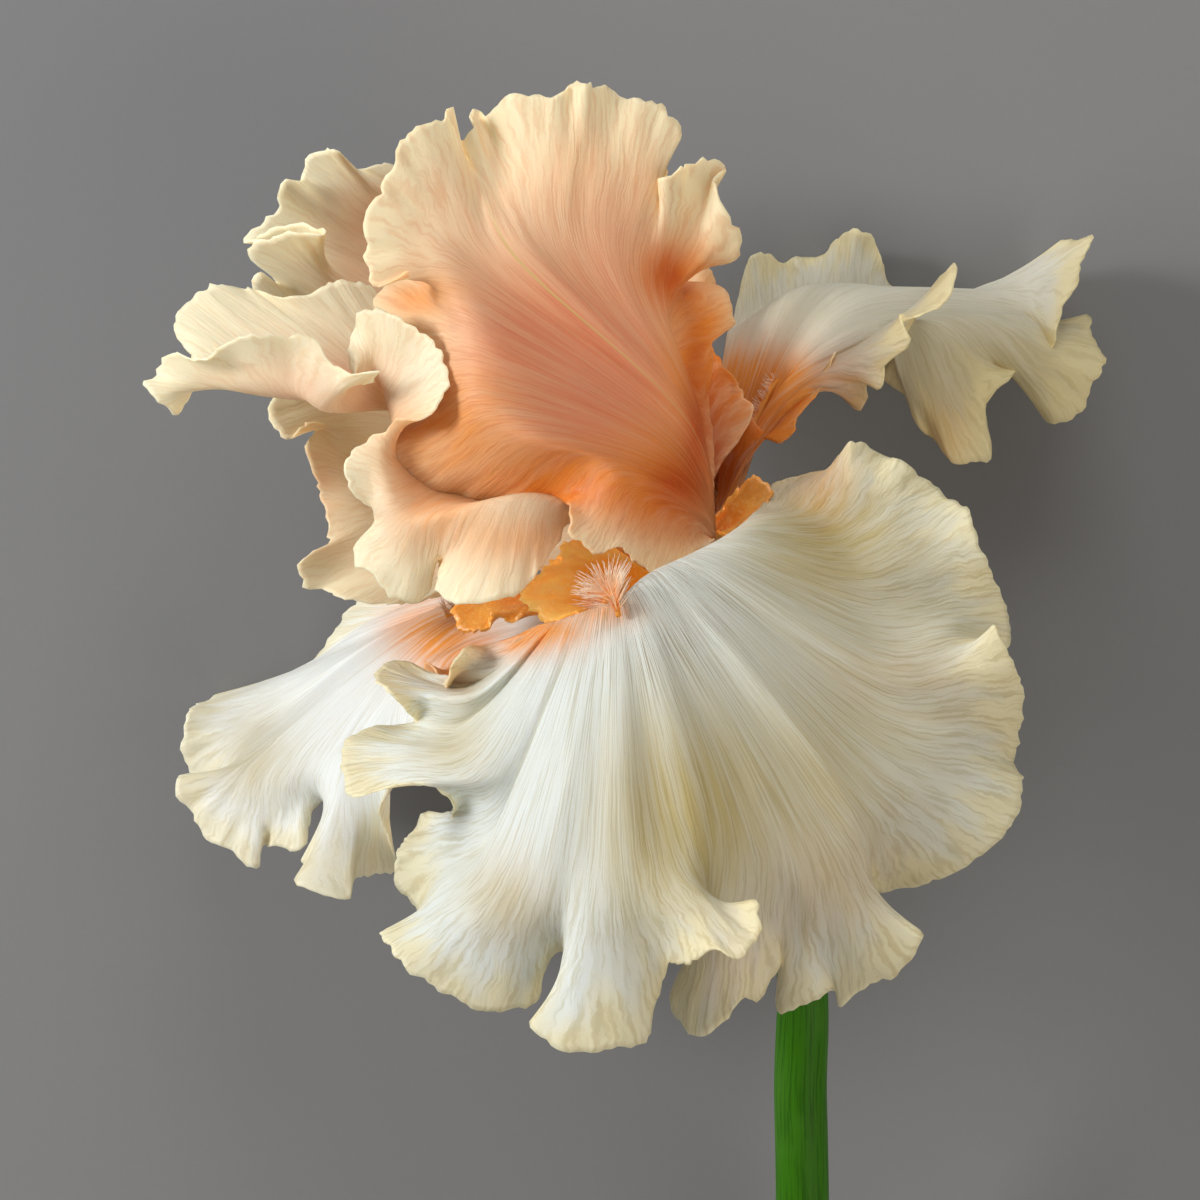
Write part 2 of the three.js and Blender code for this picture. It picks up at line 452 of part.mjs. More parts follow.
/** A stalk along a curve: `profile` lists [share of the length, radius], `lobes` ridges run along it. */
function stalkGeometry(points, profile, { sides = 14, steps = 10, lobes = 0, ridge = 0, grow = 0 } = {}) {
  const curve = new THREE.CatmullRomCurve3(points);
  const frames = curve.computeFrenetFrames(steps, false);
  const positions = [];
  const index = [];
  for (let s = 0; s <= steps; s += 1) {
    const centre = curve.getPointAt(s / steps);
    if (s === 0) centre.addScaledVector(frames.tangents[0], -grow);
    if (s === steps) centre.addScaledVector(frames.tangents[steps], grow);
    const radius = radiusAt(profile, s / steps) + grow;
    for (let i = 0; i < sides; i += 1) {
      const a = (2 * Math.PI * i) / sides;
      const r = radius * (1 + ridge * Math.cos(lobes * a));
      const placed = centre.clone()
        .addScaledVector(frames.normals[s], r * Math.cos(a))
        .addScaledVector(frames.binormals[s], r * Math.sin(a));
      positions.push(placed.x, placed.y, placed.z);
    }
  }
  for (let s = 0; s < steps; s += 1) {
    for (let i = 0; i < sides; i += 1) {
      const a = s * sides + i;
      const b = s * sides + ((i + 1) % sides);
      index.push(a, b, a + sides, b, b + sides, a + sides);
    }
  }
  for (let i = 1; i < sides - 1; i += 1) {
    index.push(0, i + 1, i);
    index.push(steps * sides, steps * sides + i, steps * sides + i + 1);
  }
  return closed(positions, index);
}

/** The radius at a share of a stalk's length, eased between the profile's places. */
function radiusAt(profile, share) {
  let k = 0;
  while (k < profile.length - 2 && profile[k + 1][0] <= share) k += 1;
  const [from, r0] = profile[k];
  const [to, r1] = profile[k + 1];
  return THREE.MathUtils.lerp(r0, r1, THREE.MathUtils.smoothstep(share, from, to));
}

/** A bract's middle surface: rows from its foot to its tip, wrapped round the flower's axis. */
function bractGrid({ axis, radii, wraps, facing }) {
  const curve = new THREE.CatmullRomCurve3(axis.map(seen));
  const frames = curve.computeFrenetFrames(BRACT_ROWS - 1, false);
  return even(0, 1, BRACT_ROWS).map((share, j) => {
    const centre = curve.getPointAt(share);
    const radius = radiusAt(radii, share);
    const wrap = THREE.MathUtils.degToRad(radiusAt(wraps, share));
    return even(-1, 1, BRACT_COLUMNS).map((side) => {
      const a = THREE.MathUtils.degToRad(facing) + side * wrap;
      return centre.clone()
        .addScaledVector(frames.normals[j], radius * Math.cos(a))
        .addScaledVector(frames.binormals[j], radius * Math.sin(a));
    });
  });
}

// ---------------------------------------------------------------- joining and cutting
/** A closed geometry as a solid that can be joined and cut. */
function solid(geometry) {
  const bare = BufferGeometryUtils.mergeVertices(geometry, WELD);
  return new wasm.Manifold(new wasm.Mesh({
    numProp: 3,
    vertProperties: Float32Array.from(bare.attributes.position.array),
    triVerts: Uint32Array.from(bare.index.array),
  }));
}

/** The largest body of a solid that a cut may have parted. */
function largest(shape) {
  return shape.decompose().sort((a, b) => b.volume() - a.volume())[0];
}

const flower = new THREE.Group();
const placed = [];

/** Adds a piece, cut clear of the earlier pieces that it would touch. `wide` is it with clearance. */
function add(name, shape, wide, material) {
  let piece = shape;
  for (const earlier of placed) {
    if (!earlier.wide.intersect(piece).isEmpty()) piece = largest(piece.subtract(earlier.wide));
  }
  placed.push({ name, wide });
  const cut = piece.getMesh();
  const mesh = new THREE.Mesh(closed(Array.from(cut.vertProperties), Array.from(cut.triVerts)), material);
  mesh.name = name;
  flower.add(mesh);
}

/** Adds a petal, style arm or bract from its grid. */
function addSheet(name, grid, material, root = CLAW_THICKNESS) {
  const shape = solid(sheetGeometry(grid, root, PETAL_THICKNESS, 0));
  const wide = solid(sheetGeometry(grid, root, PETAL_THICKNESS, CLEARANCE));
  add(name, shape, wide, material);
}

/** Adds a stalk. */
function addStalk(name, points, profile, material, options = {}) {
  const shape = solid(stalkGeometry(points, profile, options));
  const wide = solid(stalkGeometry(points, profile, { ...options, grow: CLEARANCE }));
  add(name, shape, wide, material);
}

// ---------------------------------------------------------------- the pieces
const finish = (color, roughness) => new THREE.MeshStandardMaterial({ color, roughness, metalness: 0 });
const stemGreen = finish(0x3f8a2c, 0.45);
const ovaryGreen = finish(0x7da552, 0.5);
const papery = finish(0xb9b183, 0.8);
const cream = finish(0xf1ead2, 0.6);
const salmon = finish(0xf0b48c, 0.6);
const orange = finish(0xe58a34, 0.55);
const pollen = finish(0xf2e6b0, 0.8);

// Along the flower's axis: the tube's foot, the ovary and the stem down to its cut end.
const TUBE_FOOT = [5.5, -30, -3];
const OVARY_HEAD = [5.8, -30.8, -3.1];
const OVARY_FOOT = [12.5, -49, -8];
const STEM_HEAD = [12.9, -50, -8.3];
const STEM_BEND = [17.6, -62, -13];
const STEM_MIDDLE = [18.8, -92, -27];
const STEM_END = [18.8, -157, -57.33];

addStalk('perianth_tube', [RIM_CENTRE, [0.5, -16, -1], TUBE_FOOT].map(seen),
  [[0, 5.9], [0.35, 4.2], [0.8, 3.3], [1, 3.6]], ovaryGreen, { sides: 12, steps: 7 });
addStalk('ovary', [OVARY_HEAD, [9, -40, -5], OVARY_FOOT].map(seen),
  [[0, 3.4], [0.45, 5.4], [1, 3.5]], ovaryGreen, { sides: 18, steps: 6, lobes: 3, ridge: 0.06 });
addStalk('stem', [STEM_HEAD, STEM_BEND, STEM_MIDDLE, STEM_END].map(seen),
  [[0, 3.3], [0.14, 4.3], [0.3, STEM_RADIUS], [1, STEM_RADIUS + 0.4]], stemGreen, { sides: 16, steps: 9 });

const falls = {
  front: petalGrid(FRONT_FALL),
  left: petalGrid(LEFT_FALL),
  right: petalGrid(RIGHT_FALL),
};
for (const [side, grid] of Object.entries(falls)) addSheet(`fall_${side}`, grid, cream);
addSheet('standard_front', petalGrid(FRONT_STANDARD), salmon);
addSheet('standard_left', petalGrid(LEFT_STANDARD), salmon);
addSheet('standard_back', petalGrid(BACK_STANDARD), salmon);

/** A place over the upper face of a petal: at shares of its rows and columns, `height` off the face. */
function over(grid, turn, rowShare, columnShare, height) {
  const normals = gridNormals(grid);
  const column = Math.round(columnShare * (grid[0].length - 1));
  const row = rowShare * (grid.length - 1);
  const j = Math.min(Math.floor(row), grid.length - 2);
  const up = normals[j][column].clone().lerp(normals[j + 1][column], row - j);
  up.multiplyScalar(-turn).normalize();
  const point = grid[j][column].clone().lerp(grid[j + 1][column], row - j);
  return { up, point: point.addScaledVector(up, CLAW_THICKNESS / 2 + height) };
}

// The style arms: a strap over each fall's haft, ending in a lip with two crests.
const arms = {
  front: petalGrid(FRONT_ARM, ARM_RADIUS, ARM_ROWS),
  left: petalGrid(LEFT_ARM, ARM_RADIUS, ARM_ROWS),
  right: petalGrid(RIGHT_ARM, ARM_RADIUS, ARM_ROWS),
};
for (const [side, grid] of Object.entries(arms)) addSheet(`style_arm_${side}`, grid, orange, ARM_THICKNESS);

// The beards: a furry ridge along each fall's haft, its hairs fanned out from a slim core.
const BEARD_HAIRS = 17;
const HAIR_RADIUS = 0.42;        // at the root
const HAIR_TIP = 0.3;            // at the tip
const HAIR_FAN = [-1.4, 0.1, 1.2, -0.6, 0.7];  // how far hairs lean sideways, one after another
const HAIR_LEAN = 0.5;           // how far the first hairs lean along the beard
const CORE_RADIUS = 0.9;         // half way along the core
const CORE_END = 0.5;            // at its ends
const CORE_POINTS = 5;

/** A beard on the upper face of a fall: from row share `from` to `to` along the column share `at`. */
function addBeard(name, grid, turn, at, from, to, reach) {
  const place = (share) => over(grid, turn, from + (to - from) * share, at, CORE_RADIUS + CLEARANCE);
  const core = even(0, 1, CORE_POINTS).map((share) => place(share).point);
  const forward = core[CORE_POINTS - 1].clone().sub(core[0]).normalize();
  const hairs = even(0, 1, BEARD_HAIRS).map((share, k) => {
    const { point, up } = place(share);
    const aside = new THREE.Vector3().crossVectors(forward, up);
    const aim = up.clone().addScaledVector(aside, HAIR_FAN[k % HAIR_FAN.length])
      .addScaledVector(forward, HAIR_LEAN * (1 - share)).normalize();
    const tip = point.clone().addScaledVector(aim, reach * (0.8 + 0.2 * Math.cos(k)));
    return solid(stalkGeometry([point, tip], [[0, HAIR_RADIUS], [1, HAIR_TIP]], { sides: 3, steps: 1 }));
  });
  const swell = [[0, CORE_END], [0.5, CORE_RADIUS], [1, CORE_END]];
  const ridge = solid(stalkGeometry(core, swell, { sides: 6, steps: 6 }));
  const shape = wasm.Manifold.union([ridge, ...hairs]);
  add(name, shape, shape, orange);
}
addBeard('beard_front', falls.front, FRONT_FALL.turn, 0.46, 0.16, 0.42, 7);
addBeard('beard_left', falls.left, LEFT_FALL.turn, 0.5, 0.15, 0.4, 4.5);
addBeard('beard_right', falls.right, RIGHT_FALL.turn, 0.65, 0.15, 0.38, 3.5);

// The anthers: a stamen between each fall and its style arm, standing on the rim.
const ANTHER_RADIUS = 4.2;       // circle of the three stamens on the tube's rim
const STAMEN = [0.12, 0.24, 0.36];  // shares of the style arm's rows that a stamen runs along

/** The place half way between a style arm, at a share of its rows, and the fall under it. */
function between(arm, fall, share) {
  const row = share * (arm.length - 1);
  const j = Math.floor(row);
  const column = Math.floor(arm[0].length / 2);
  const point = arm[j][column].clone().lerp(arm[j + 1][column], row - j);
  const nearest = fall.flat().sort((a, b) => a.distanceTo(point) - b.distanceTo(point))[0];
  return point.lerp(nearest, 0.5);
}

/** The stamen of one side, with its anther at the far end. */
function addAnther(name, claw, arm, fall) {
  const foot = onRim(ANTHER_RADIUS, claw, 2 * CLEARANCE);
  const path = [foot, ...STAMEN.map((share) => between(arm, fall, share))];
  addStalk(name, path, [[0, 0.35], [0.5, 0.3], [0.62, 0.6], [1, 0.35]], pollen, { sides: 5, steps: 7 });
}
addAnther('anther_front', FRONT_FALL.claw, arms.front, falls.front);
addAnther('anther_left', LEFT_FALL.claw, arms.left, falls.left);
addAnther('anther_right', RIGHT_FALL.claw, arms.right, falls.right);

// The spathe: two papery bracts round the ovary, open at the side where the flower comes out.
addSheet('spathe_outer', bractGrid(OUTER_BRACT), papery, PETAL_THICKNESS);
addSheet('spathe_inner', bractGrid(INNER_BRACT), papery, PETAL_THICKNESS);

export default flower;
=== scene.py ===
"""A cut bearded iris in full bloom, lying on its back on a pale floor, looked at from straight above.

The petals, style arms and bracts are thin sheets swept along listed veins. Lengths in this file are in
millimetres unless a name ends in _M. X and Y are as seen on the throat's plane, and depth runs to the eye.
"""

import logging
import math
from dataclasses import dataclass, replace
from enum import Enum

import bpy
import numpy as np
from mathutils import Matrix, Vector


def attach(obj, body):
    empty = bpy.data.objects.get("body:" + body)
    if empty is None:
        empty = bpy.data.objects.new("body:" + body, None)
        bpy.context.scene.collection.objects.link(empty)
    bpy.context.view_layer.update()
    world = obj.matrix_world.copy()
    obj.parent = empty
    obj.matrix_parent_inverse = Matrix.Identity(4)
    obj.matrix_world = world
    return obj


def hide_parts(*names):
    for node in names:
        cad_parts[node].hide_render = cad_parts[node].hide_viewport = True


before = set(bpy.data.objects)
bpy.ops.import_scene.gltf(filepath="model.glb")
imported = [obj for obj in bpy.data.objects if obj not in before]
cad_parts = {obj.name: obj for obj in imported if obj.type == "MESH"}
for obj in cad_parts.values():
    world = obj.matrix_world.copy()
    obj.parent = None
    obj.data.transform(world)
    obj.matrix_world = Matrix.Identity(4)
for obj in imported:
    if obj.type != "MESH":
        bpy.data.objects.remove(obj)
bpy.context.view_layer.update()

LOG = logging.getLogger("iris")

Colour = tuple[float, float, float]
Vein = tuple[float, ...]
Stops = tuple[tuple[float, float], ...]      # of (share of the way, value)
Socket = bpy.types.NodeSocket
Painted = tuple[Socket, Socket | None]       # a colour, and the height of a relief if there is one

MM = 0.001
THROAT_HEIGHT = 62.0             # from the floor up to the middle of the throat
THROAT_X, THROAT_Y = 8.6, 43.9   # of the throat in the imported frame
EYE_X, EYE_Y = -15.3, -6.8       # where the line of sight meets the throat's plane
EYE_AWAY, EYE_PLANE = 1000.0, 20.0
PICTURE_WIDTH = 204.0            # what the picture takes in on the plane EYE_PLANE
SENSOR = 36.0

RIM_CENTRE = np.array([-2.0, -9.0, 0.0])
TUBE_UP = np.array([-0.356, 0.924, 0.137])
CLAW_RADIUS = 5.6                # of the circles on the tube's rim that petals, stamens and arms stand on
ANTHER_RADIUS = 4.2
ARM_RADIUS = 2.9
CLAW_SPREAD = 44.0               # degrees round the rim that one claw takes up
CLAW_LIFT = 0.85                 # of a claw's middle surface over the rim
WAVE_FADE = 3                    # rounds of easing that keep a margin's fine waves off the blade
CLEARANCE = 0.3                  # between a stamen's foot and the rim
WAVE_CELLS = 1024                # random heights that a run of waves goes through before it repeats
FINE_STATIONS = 40               # to a vein, where even steps along a margin are measured
FINE_PLACES = 400                # along a spine, where even steps are measured
THINNING = 0.5                   # share of the way over which a sheet thins from its claw
MAP_ROW = 0.6                    # share of the rows, to the one whose millimetres the map counts
STEM_RADIUS = 4.7
PATCHES = ("painted_shade", "rosy", "warm", "ember_and_shade", "ink")   # kinds of soft patch on a petal: the first is painted shade, the fourth deep orange darkened by painted shade in hollows, the others the petal's own colours


class Slot(Enum):
    """The record's material slots."""

    STEM = "stem_green"
    OVARY = "ovary_green"
    SPATHE = "spathe"
    FALL = "fall"
    STANDARD = "standard"
    STYLE = "style"
    BEARD = "beard"
    POLLEN = "pollen"


# ---------------------------------------------------------------- curves and sheets
def unit(vectors: np.ndarray) -> np.ndarray:
    """Vectors scaled to length one along their last axis."""
    return vectors / np.maximum(np.linalg.norm(vectors, axis=-1, keepdims=True), 1e-9)


def seen(points: np.ndarray) -> np.ndarray:
    """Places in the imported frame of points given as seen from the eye.

    Args:
        points: x, y and depth along the last axis.

    Returns:
        Places in millimetres, in the same layout.
    """
    points = np.asarray(points, float)
    k = (EYE_AWAY - (points[..., 2] - EYE_PLANE)) / EYE_AWAY
    return np.stack((
        EYE_X + (points[..., 0] - EYE_X) * k + THROAT_X,
        EYE_Y + (points[..., 1] - EYE_Y) * k + THROAT_Y,
        points[..., 2] + THROAT_HEIGHT,
    ), axis=-1)


def on_rim(radius: float, azimuth: float, lift: float = 0.0) -> np.ndarray:
    """A place on a circle round the tube's rim.

    Args:
        radius: of the circle.
        azimuth: degrees round the tube, from the side nearest the eye.
        lift: along the tube, out of its mouth.

    Returns:
        The place in millimetres.
    """
    up = unit(TUBE_UP)
    front = unit(np.array([0.0, 0.0, 1.0]) - up * up[2])
    right = np.cross(up, front)
    a = math.radians(azimuth)
    centre = RIM_CENTRE + np.array([THROAT_X, THROAT_Y, THROAT_HEIGHT])
    return centre + radius * (math.cos(a) * front + math.sin(a) * right) + lift * up


def smooth(points: np.ndarray, knots: np.ndarray, at: np.ndarray) -> np.ndarray:
    """A smooth curve through points.

    Args:
        points: one row for each knot; more axes may follow.
        knots: rising values that the points stand at.
        at: the values to read the curve at.

    Returns:
        One row for each value.
    """
    points = np.asarray(points, float)
    knots = np.asarray(knots, float)
    shape = (-1,) + (1,) * (points.ndim - 1)
    step = np.diff(knots).reshape(shape)
    chord = np.diff(points, axis=0) / step
    if len(points) == 2:
        return points[0] + chord[0] * (at - knots[0]).reshape(shape)
    slope = np.empty_like(points)
    slope[1:-1] = (chord[:-1] * step[1:] + chord[1:] * step[:-1]) / (step[1:] + step[:-1])
    slope[0] = 1.5 * chord[0] - 0.5 * slope[1]
    slope[-1] = 1.5 * chord[-1] - 0.5 * slope[-2]
    i = np.clip(np.searchsorted(knots, at, side="right") - 1, 0, len(points) - 2)
    width = step[i]
    t = (at - knots[i]).reshape(shape) / width
    return (
        (1 + 2 * t) * (1 - t) ** 2 * points[i] + t * (1 - t) ** 2 * width * slope[i]
        + t * t * (3 - 2 * t) * points[i + 1] + t * t * (t - 1) * width * slope[i + 1]
    )


def run_along(points: np.ndarray) -> np.ndarray:
    """How far along a line each of its points is."""
    return np.concatenate(([0.0], np.cumsum(np.linalg.norm(np.diff(points, axis=0), axis=1))))


def ease(values: np.ndarray, low: float, high: float) -> np.ndarray:
    """0 below low, 1 above high, and a smooth rise between."""
    t = np.clip((values - low) / (high - low), 0, 1)
    return t * t * (3 - 2 * t)


def waves(at: np.ndarray, seed: int) -> np.ndarray:
    """Smooth random waves between -1 and 1, one to each unit of `at`."""
    heights = np.random.default_rng(seed).uniform(-1, 1, WAVE_CELLS)
    cell = np.floor(at).astype(int)
    t = at - cell
    t = t * t * (3 - 2 * t)
    return heights[cell % WAVE_CELLS] * (1 - t) + heights[(cell + 1) % WAVE_CELLS] * t


def softened(values: np.ndarray, axis: int, rounds: int) -> np.ndarray:
    """Values evened out along an axis, with their ends left where they are."""
    values = np.moveaxis(values.copy(), axis, 0)
    for _ in range(rounds):
        values[1:-1] = 0.25 * values[:-2] + 0.5 * values[1:-1] + 0.25 * values[2:]
    return np.moveaxis(values, 0, axis)


@dataclass(frozen=True)
class Tint:
    """A soft patch on a petal, placed as seen from the front."""

    x: float
    y: float
    wide: float
    high: float
    amount: float

    def over(self, x: np.ndarray, y: np.ndarray) -> np.ndarray:
        """How strong the patch is at each place."""
        return self.amount * np.exp(-((x - self.x) / self.wide) ** 2 - ((y - self.y) / self.high) ** 2)


def tints(*rows: tuple[float, ...]) -> tuple[Tint, ...]:
    """Patches from rows of x, y, half width, half height and amount."""
    return tuple(Tint(*row) for row in rows)


@dataclass(frozen=True)
class Blade:
    """A petal or style arm: a fan of veins from its claw on the tube's rim to its margin.

    Each vein gives its end on the margin, then its middle and its shoulder where these are given; the
    others follow between.
    """

    claw: float               # degrees round the rim where its claw stands
    turn: int                 # 1 or -1, the way round that the veins are listed
    neck: tuple               # a row of points between the claw and the shoulders
    veins: tuple[Vein, ...]
    rim: float = 0.6          # how much the row inside the margin follows the eased margin
    warm: tuple[Tint, ...] = ()
    rosy: tuple[Tint, ...] = ()
    # painted shade: a darker, duller colour where the petal turns from the light or lies in shadow
    painted_shade: tuple[Tint, ...] = ()
    # deep orange-red: partly the throat's own colour, partly painted shade in its hollows and valleys
    ember_and_shade: tuple[Tint, ...] = ()
    ink: tuple[Tint, ...] = ()
    midrib: float = -9.0      # the vein that stands out as a midrib

    def level(self, k: int) -> np.ndarray:
        """The k-th point of every vein: 0 on the margin, 1 at the middle, 2 at the shoulder."""
        given = [i for i, vein in enumerate(self.veins) if len(vein) >= 3 * k + 3]
        points = seen([self.veins[i][3 * k:3 * k + 3] for i in given])
        return smooth(points, np.array(given), np.arange(len(self.veins)))

    def rows(self, radius: float) -> list[np.ndarray]:
        """The rows from claw to margin, each with one point to a vein."""
        count = len(self.veins)
        turns = self.turn * CLAW_SPREAD * np.array([-0.5, 0.0, 0.5])
        root = np.array([on_rim(radius, self.claw + turn, CLAW_LIFT) for turn in turns])
        lines = (root, seen(self.neck))
        lower = [smooth(line, np.linspace(0, count - 1, len(line)), np.arange(count)) for line in lines]
        edge, middle = self.level(0), self.level(1)
        gentle = softened(edge, 0, WAVE_FADE)
        return lower + [self.level(2), middle, middle + (gentle - middle) * self.rim, edge]

    def surface(self, stations: np.ndarray, along: np.ndarray, radius: float) -> np.ndarray:
        """The middle surface.

        Args:
            stations: places across the fan, counted in veins.
            along: shares of the way from claw to margin.
            radius: of the circle that the claw stands on.

        Returns:
            Points in millimetres, a row for each share.
        """
        rows = np.array(self.rows(radius))
        chord = np.linalg.norm(np.diff(rows, axis=0), axis=2).mean(axis=1)
        knots = np.concatenate(([0.0], np.cumsum(np.sqrt(chord))))
        knots /= knots[-1]
        across = smooth(np.moveaxis(rows, 1, 0), np.arange(len(self.veins)), stations)
        return smooth(np.moveaxis(across, 1, 0), knots, along)

    def even_stations(self, spacing: float, radius: float) -> np.ndarray:
        """Stations at even steps along the margin and the row inside it."""
        fine = np.linspace(0, len(self.veins) - 1, FINE_STATIONS * len(self.veins))
        lines = self.surface(fine, np.array([0.8, 1.0]), radius)
        length = (run_along(lines[0]) + run_along(lines[1])) / 2
        count = int(length[-1] / spacing) + 2
        return np.interp(np.linspace(0, length[-1], count), length, fine)


@dataclass(frozen=True)
class Ruffle:
    """Waves and notches that a margin has beyond the fan's own folds."""

    crimp: float = 0.35       # height of the fine waves at the margin
    crimp_length: float = 2.6
    flute: float = 0.4        # height of the longer flutes, which start lower down
    flute_length: float = 7.0
    notch: float = 0.5        # how far the margin itself goes in and out
    notch_length: float = 1.7
    start: float = 0.82       # share of the way to the margin where the fine waves start
    flute_start: float = 0.6
    notch_start: float = 0.93
    calm_length: float = 23.0  # over which the fine waves grow and die down


@dataclass
class Sheet:
    """A thin closed sheet round a grid of points."""

    points: np.ndarray
    along: np.ndarray
    root_thickness: float
    margin_thickness: float

    def normals(self) -> np.ndarray:
        """Unit directions across the sheet, softened so that its faces keep apart."""
        across = np.gradient(self.points, axis=1)
        down = np.gradient(self.points, axis=0)
        normal = unit(np.cross(across, down))
        return unit(softened(softened(normal, 1, 3), 0, 2))

    def ruffled(self, ruffle: Ruffle, seed: int) -> "Sheet":
        """The same sheet with its margin waved and notched.

        Args:
            ruffle: how high and long the waves are.
            seed: for their random run.

        Returns:
            The new sheet.
        """
        run = run_along(self.points[-1])
        crimps, notches = run / ruffle.crimp_length, run / ruffle.notch_length
        fine = waves(crimps, seed) + 0.5 * waves(2.1 * crimps, seed + 1)
        notch = waves(notches, seed + 3) + 0.8 * waves(2.3 * notches, seed + 4)
        strength = 0.55 + 0.45 * waves(run / ruffle.calm_length, seed + 5)
        share = self.along[:, None]
        lift = ruffle.crimp * ease(share, ruffle.start, 1.0) * (fine * strength)[None]
        inner, outer = (waves(run / ruffle.flute_length, seed + k)[None] for k in (2, 6))
        flutes = inner + (outer - inner) * ease(share, 0.75, 1.0)
        lift = lift + ruffle.flute * ease(share, ruffle.flute_start, 0.95) * flutes
        points = self.points + self.normals() * lift[..., None]
        outward = unit(np.gradient(self.points, axis=0))
        reach = ruffle.notch * ease(share, ruffle.notch_start, 1.0) * notch[None]
        points = points + outward * reach[..., None]
        return Sheet(points, self.along, self.root_thickness, self.margin_thickness)

    def mesh(self, name: str, masks: dict[str, np.ndarray]) -> bpy.types.Mesh:
        """The closed mesh, with a UV map of millimetres across and share along.

        Args:
            name: of the mesh.
            masks: values at the grid's points, kept as attributes of the mesh.

        Returns:
            The mesh, in metres.
        """
        rows, columns, _ = self.points.shape
        thins = ease(self.along, 0.0, THINNING)
        thickness = self.root_thickness + (self.margin_thickness - self.root_thickness) * thins
        offset = self.normals() * (thickness / 2)[:, None, None]
        faces = np.concatenate([(self.points + side * offset).reshape(-1, 3) for side in (1, -1)])
        faces[:, 2] = np.maximum(faces[:, 2], 0.0)
        index = np.arange(rows * columns).reshape(rows, columns)
        a, b, c, d = index[:-1, :-1], index[:-1, 1:], index[1:, 1:], index[1:, :-1]
        upper = np.stack((a, b, c, d), axis=-1).reshape(-1, 4)
        under = np.stack((a, d, c, b), axis=-1).reshape(-1, 4) + rows * columns
        rim = np.concatenate((index[0], index[1:, -1], index[-1, -2::-1], index[-2:0:-1, 0]))
        after = np.roll(rim, -1)
        wall = np.stack((after, rim, rim + rows * columns, after + rows * columns), axis=-1)
        run = run_along(self.points[int(rows * MAP_ROW)])
        uv = np.stack(np.broadcast_arrays(run[None], self.along[:, None]), axis=-1).reshape(-1, 2)
        both = {mask: np.tile(values.reshape(-1), 2) for mask, values in masks.items()}
        mesh = new_mesh(name, faces, np.concatenate((upper, under, wall)), np.tile(uv, (2, 1)), both)
        mesh.polygons.foreach_set("use_smooth", np.arange(len(mesh.polygons)) < len(upper) + len(under))
        return mesh


def new_mesh(
    name: str,
    points: np.ndarray,
    quads: np.ndarray,
    uv: np.ndarray | None = None,
    masks: dict[str, np.ndarray] | None = None,
) -> bpy.types.Mesh:
    """A smooth-shaded mesh from arrays.

    Args:
        name: of the mesh.
        points: in millimetres.
        quads: four corners to a face; a triangle gives its last corner twice.
        uv: a place on the map for each point.
        masks: a value for each point, kept as attributes.

    Returns:
        The mesh, in metres.
    """
    mesh = bpy.data.meshes.new(name)
    mesh.from_pydata((points * MM).tolist(), [], [list(dict.fromkeys(quad)) for quad in quads.tolist()])
    loops = np.empty(len(mesh.loops), int)
    mesh.loops.foreach_get("vertex_index", loops)
    if uv is not None:
        mesh.uv_layers.new(name="petal").uv.foreach_set("vector", uv[loops].astype(np.float32).reshape(-1))
    for mask, values in (masks or {}).items():
        mesh.attributes.new(mask, "FLOAT", "POINT").data.foreach_set("value", values.astype(np.float32))
    mesh.shade_smooth()
    return mesh


@dataclass(frozen=True)
class Spine:
    """A smooth curve with a frame that goes along it without twisting."""

    points: np.ndarray

    def frames(self, count: int) -> tuple[np.ndarray, np.ndarray, np.ndarray]:
        """Even places along the curve, with two directions across it at each.

        Args:
            count: how many places.

        Returns:
            Centres, normals and binormals.
        """
        knots = run_along(self.points)
        fine = np.linspace(0, knots[-1], FINE_PLACES)
        length = run_along(smooth(self.points, knots, fine))
        centres = smooth(self.points, knots, np.interp(np.linspace(0, length[-1], count), length, fine))
        tangents = unit(np.gradient(centres, axis=0))
        normal = np.eye(3)[int(np.argmin(np.abs(tangents[0])))]
        normal = np.cross(tangents[0], unit(np.cross(tangents[0], normal)))
        normals = []
        for tangent in tangents:
            normal = unit(normal - tangent * np.dot(normal, tangent))
            normals.append(normal)
        return centres, np.array(normals), np.cross(tangents, np.array(normals))

    def wrapped(self, radius: np.ndarray, angle: np.ndarray) -> np.ndarray:
        """Points round the curve.

        Args:
            radius: of each point, with a row for each even place along the curve.
            angle: of each point, in radians.

        Returns:
            Points in millimetres, in rows.
        """
        centres, normals, binormals = self.frames(len(radius))
        return (
            centres[:, None]
            + normals[:, None] * (radius * np.cos(angle))[..., None]
            + binormals[:, None] * (radius * np.sin(angle))[..., None]
        )


def profile(stops: Stops, shares: np.ndarray) -> np.ndarray:
    """A value eased between stops, read at shares of the way."""
    places = np.array([stop[0] for stop in stops])
    values = np.array([stop[1] for stop in stops])
    i = np.clip(np.searchsorted(places, shares, side="right") - 1, 0, len(stops) - 2)
    t = np.clip((shares - places[i]) / (places[i + 1] - places[i]), 0, 1)
    t = t * t * (3 - 2 * t)
    return values[i] * (1 - t) + values[i + 1] * t


def walls(index: np.ndarray) -> np.ndarray:
    """Faces between rings of corner numbers; the last axis goes round."""
    after = np.roll(index, -1, axis=-1)
    return np.stack((index[:-1], after[:-1], after[1:], index[1:]), axis=-1).reshape(-1, 4)


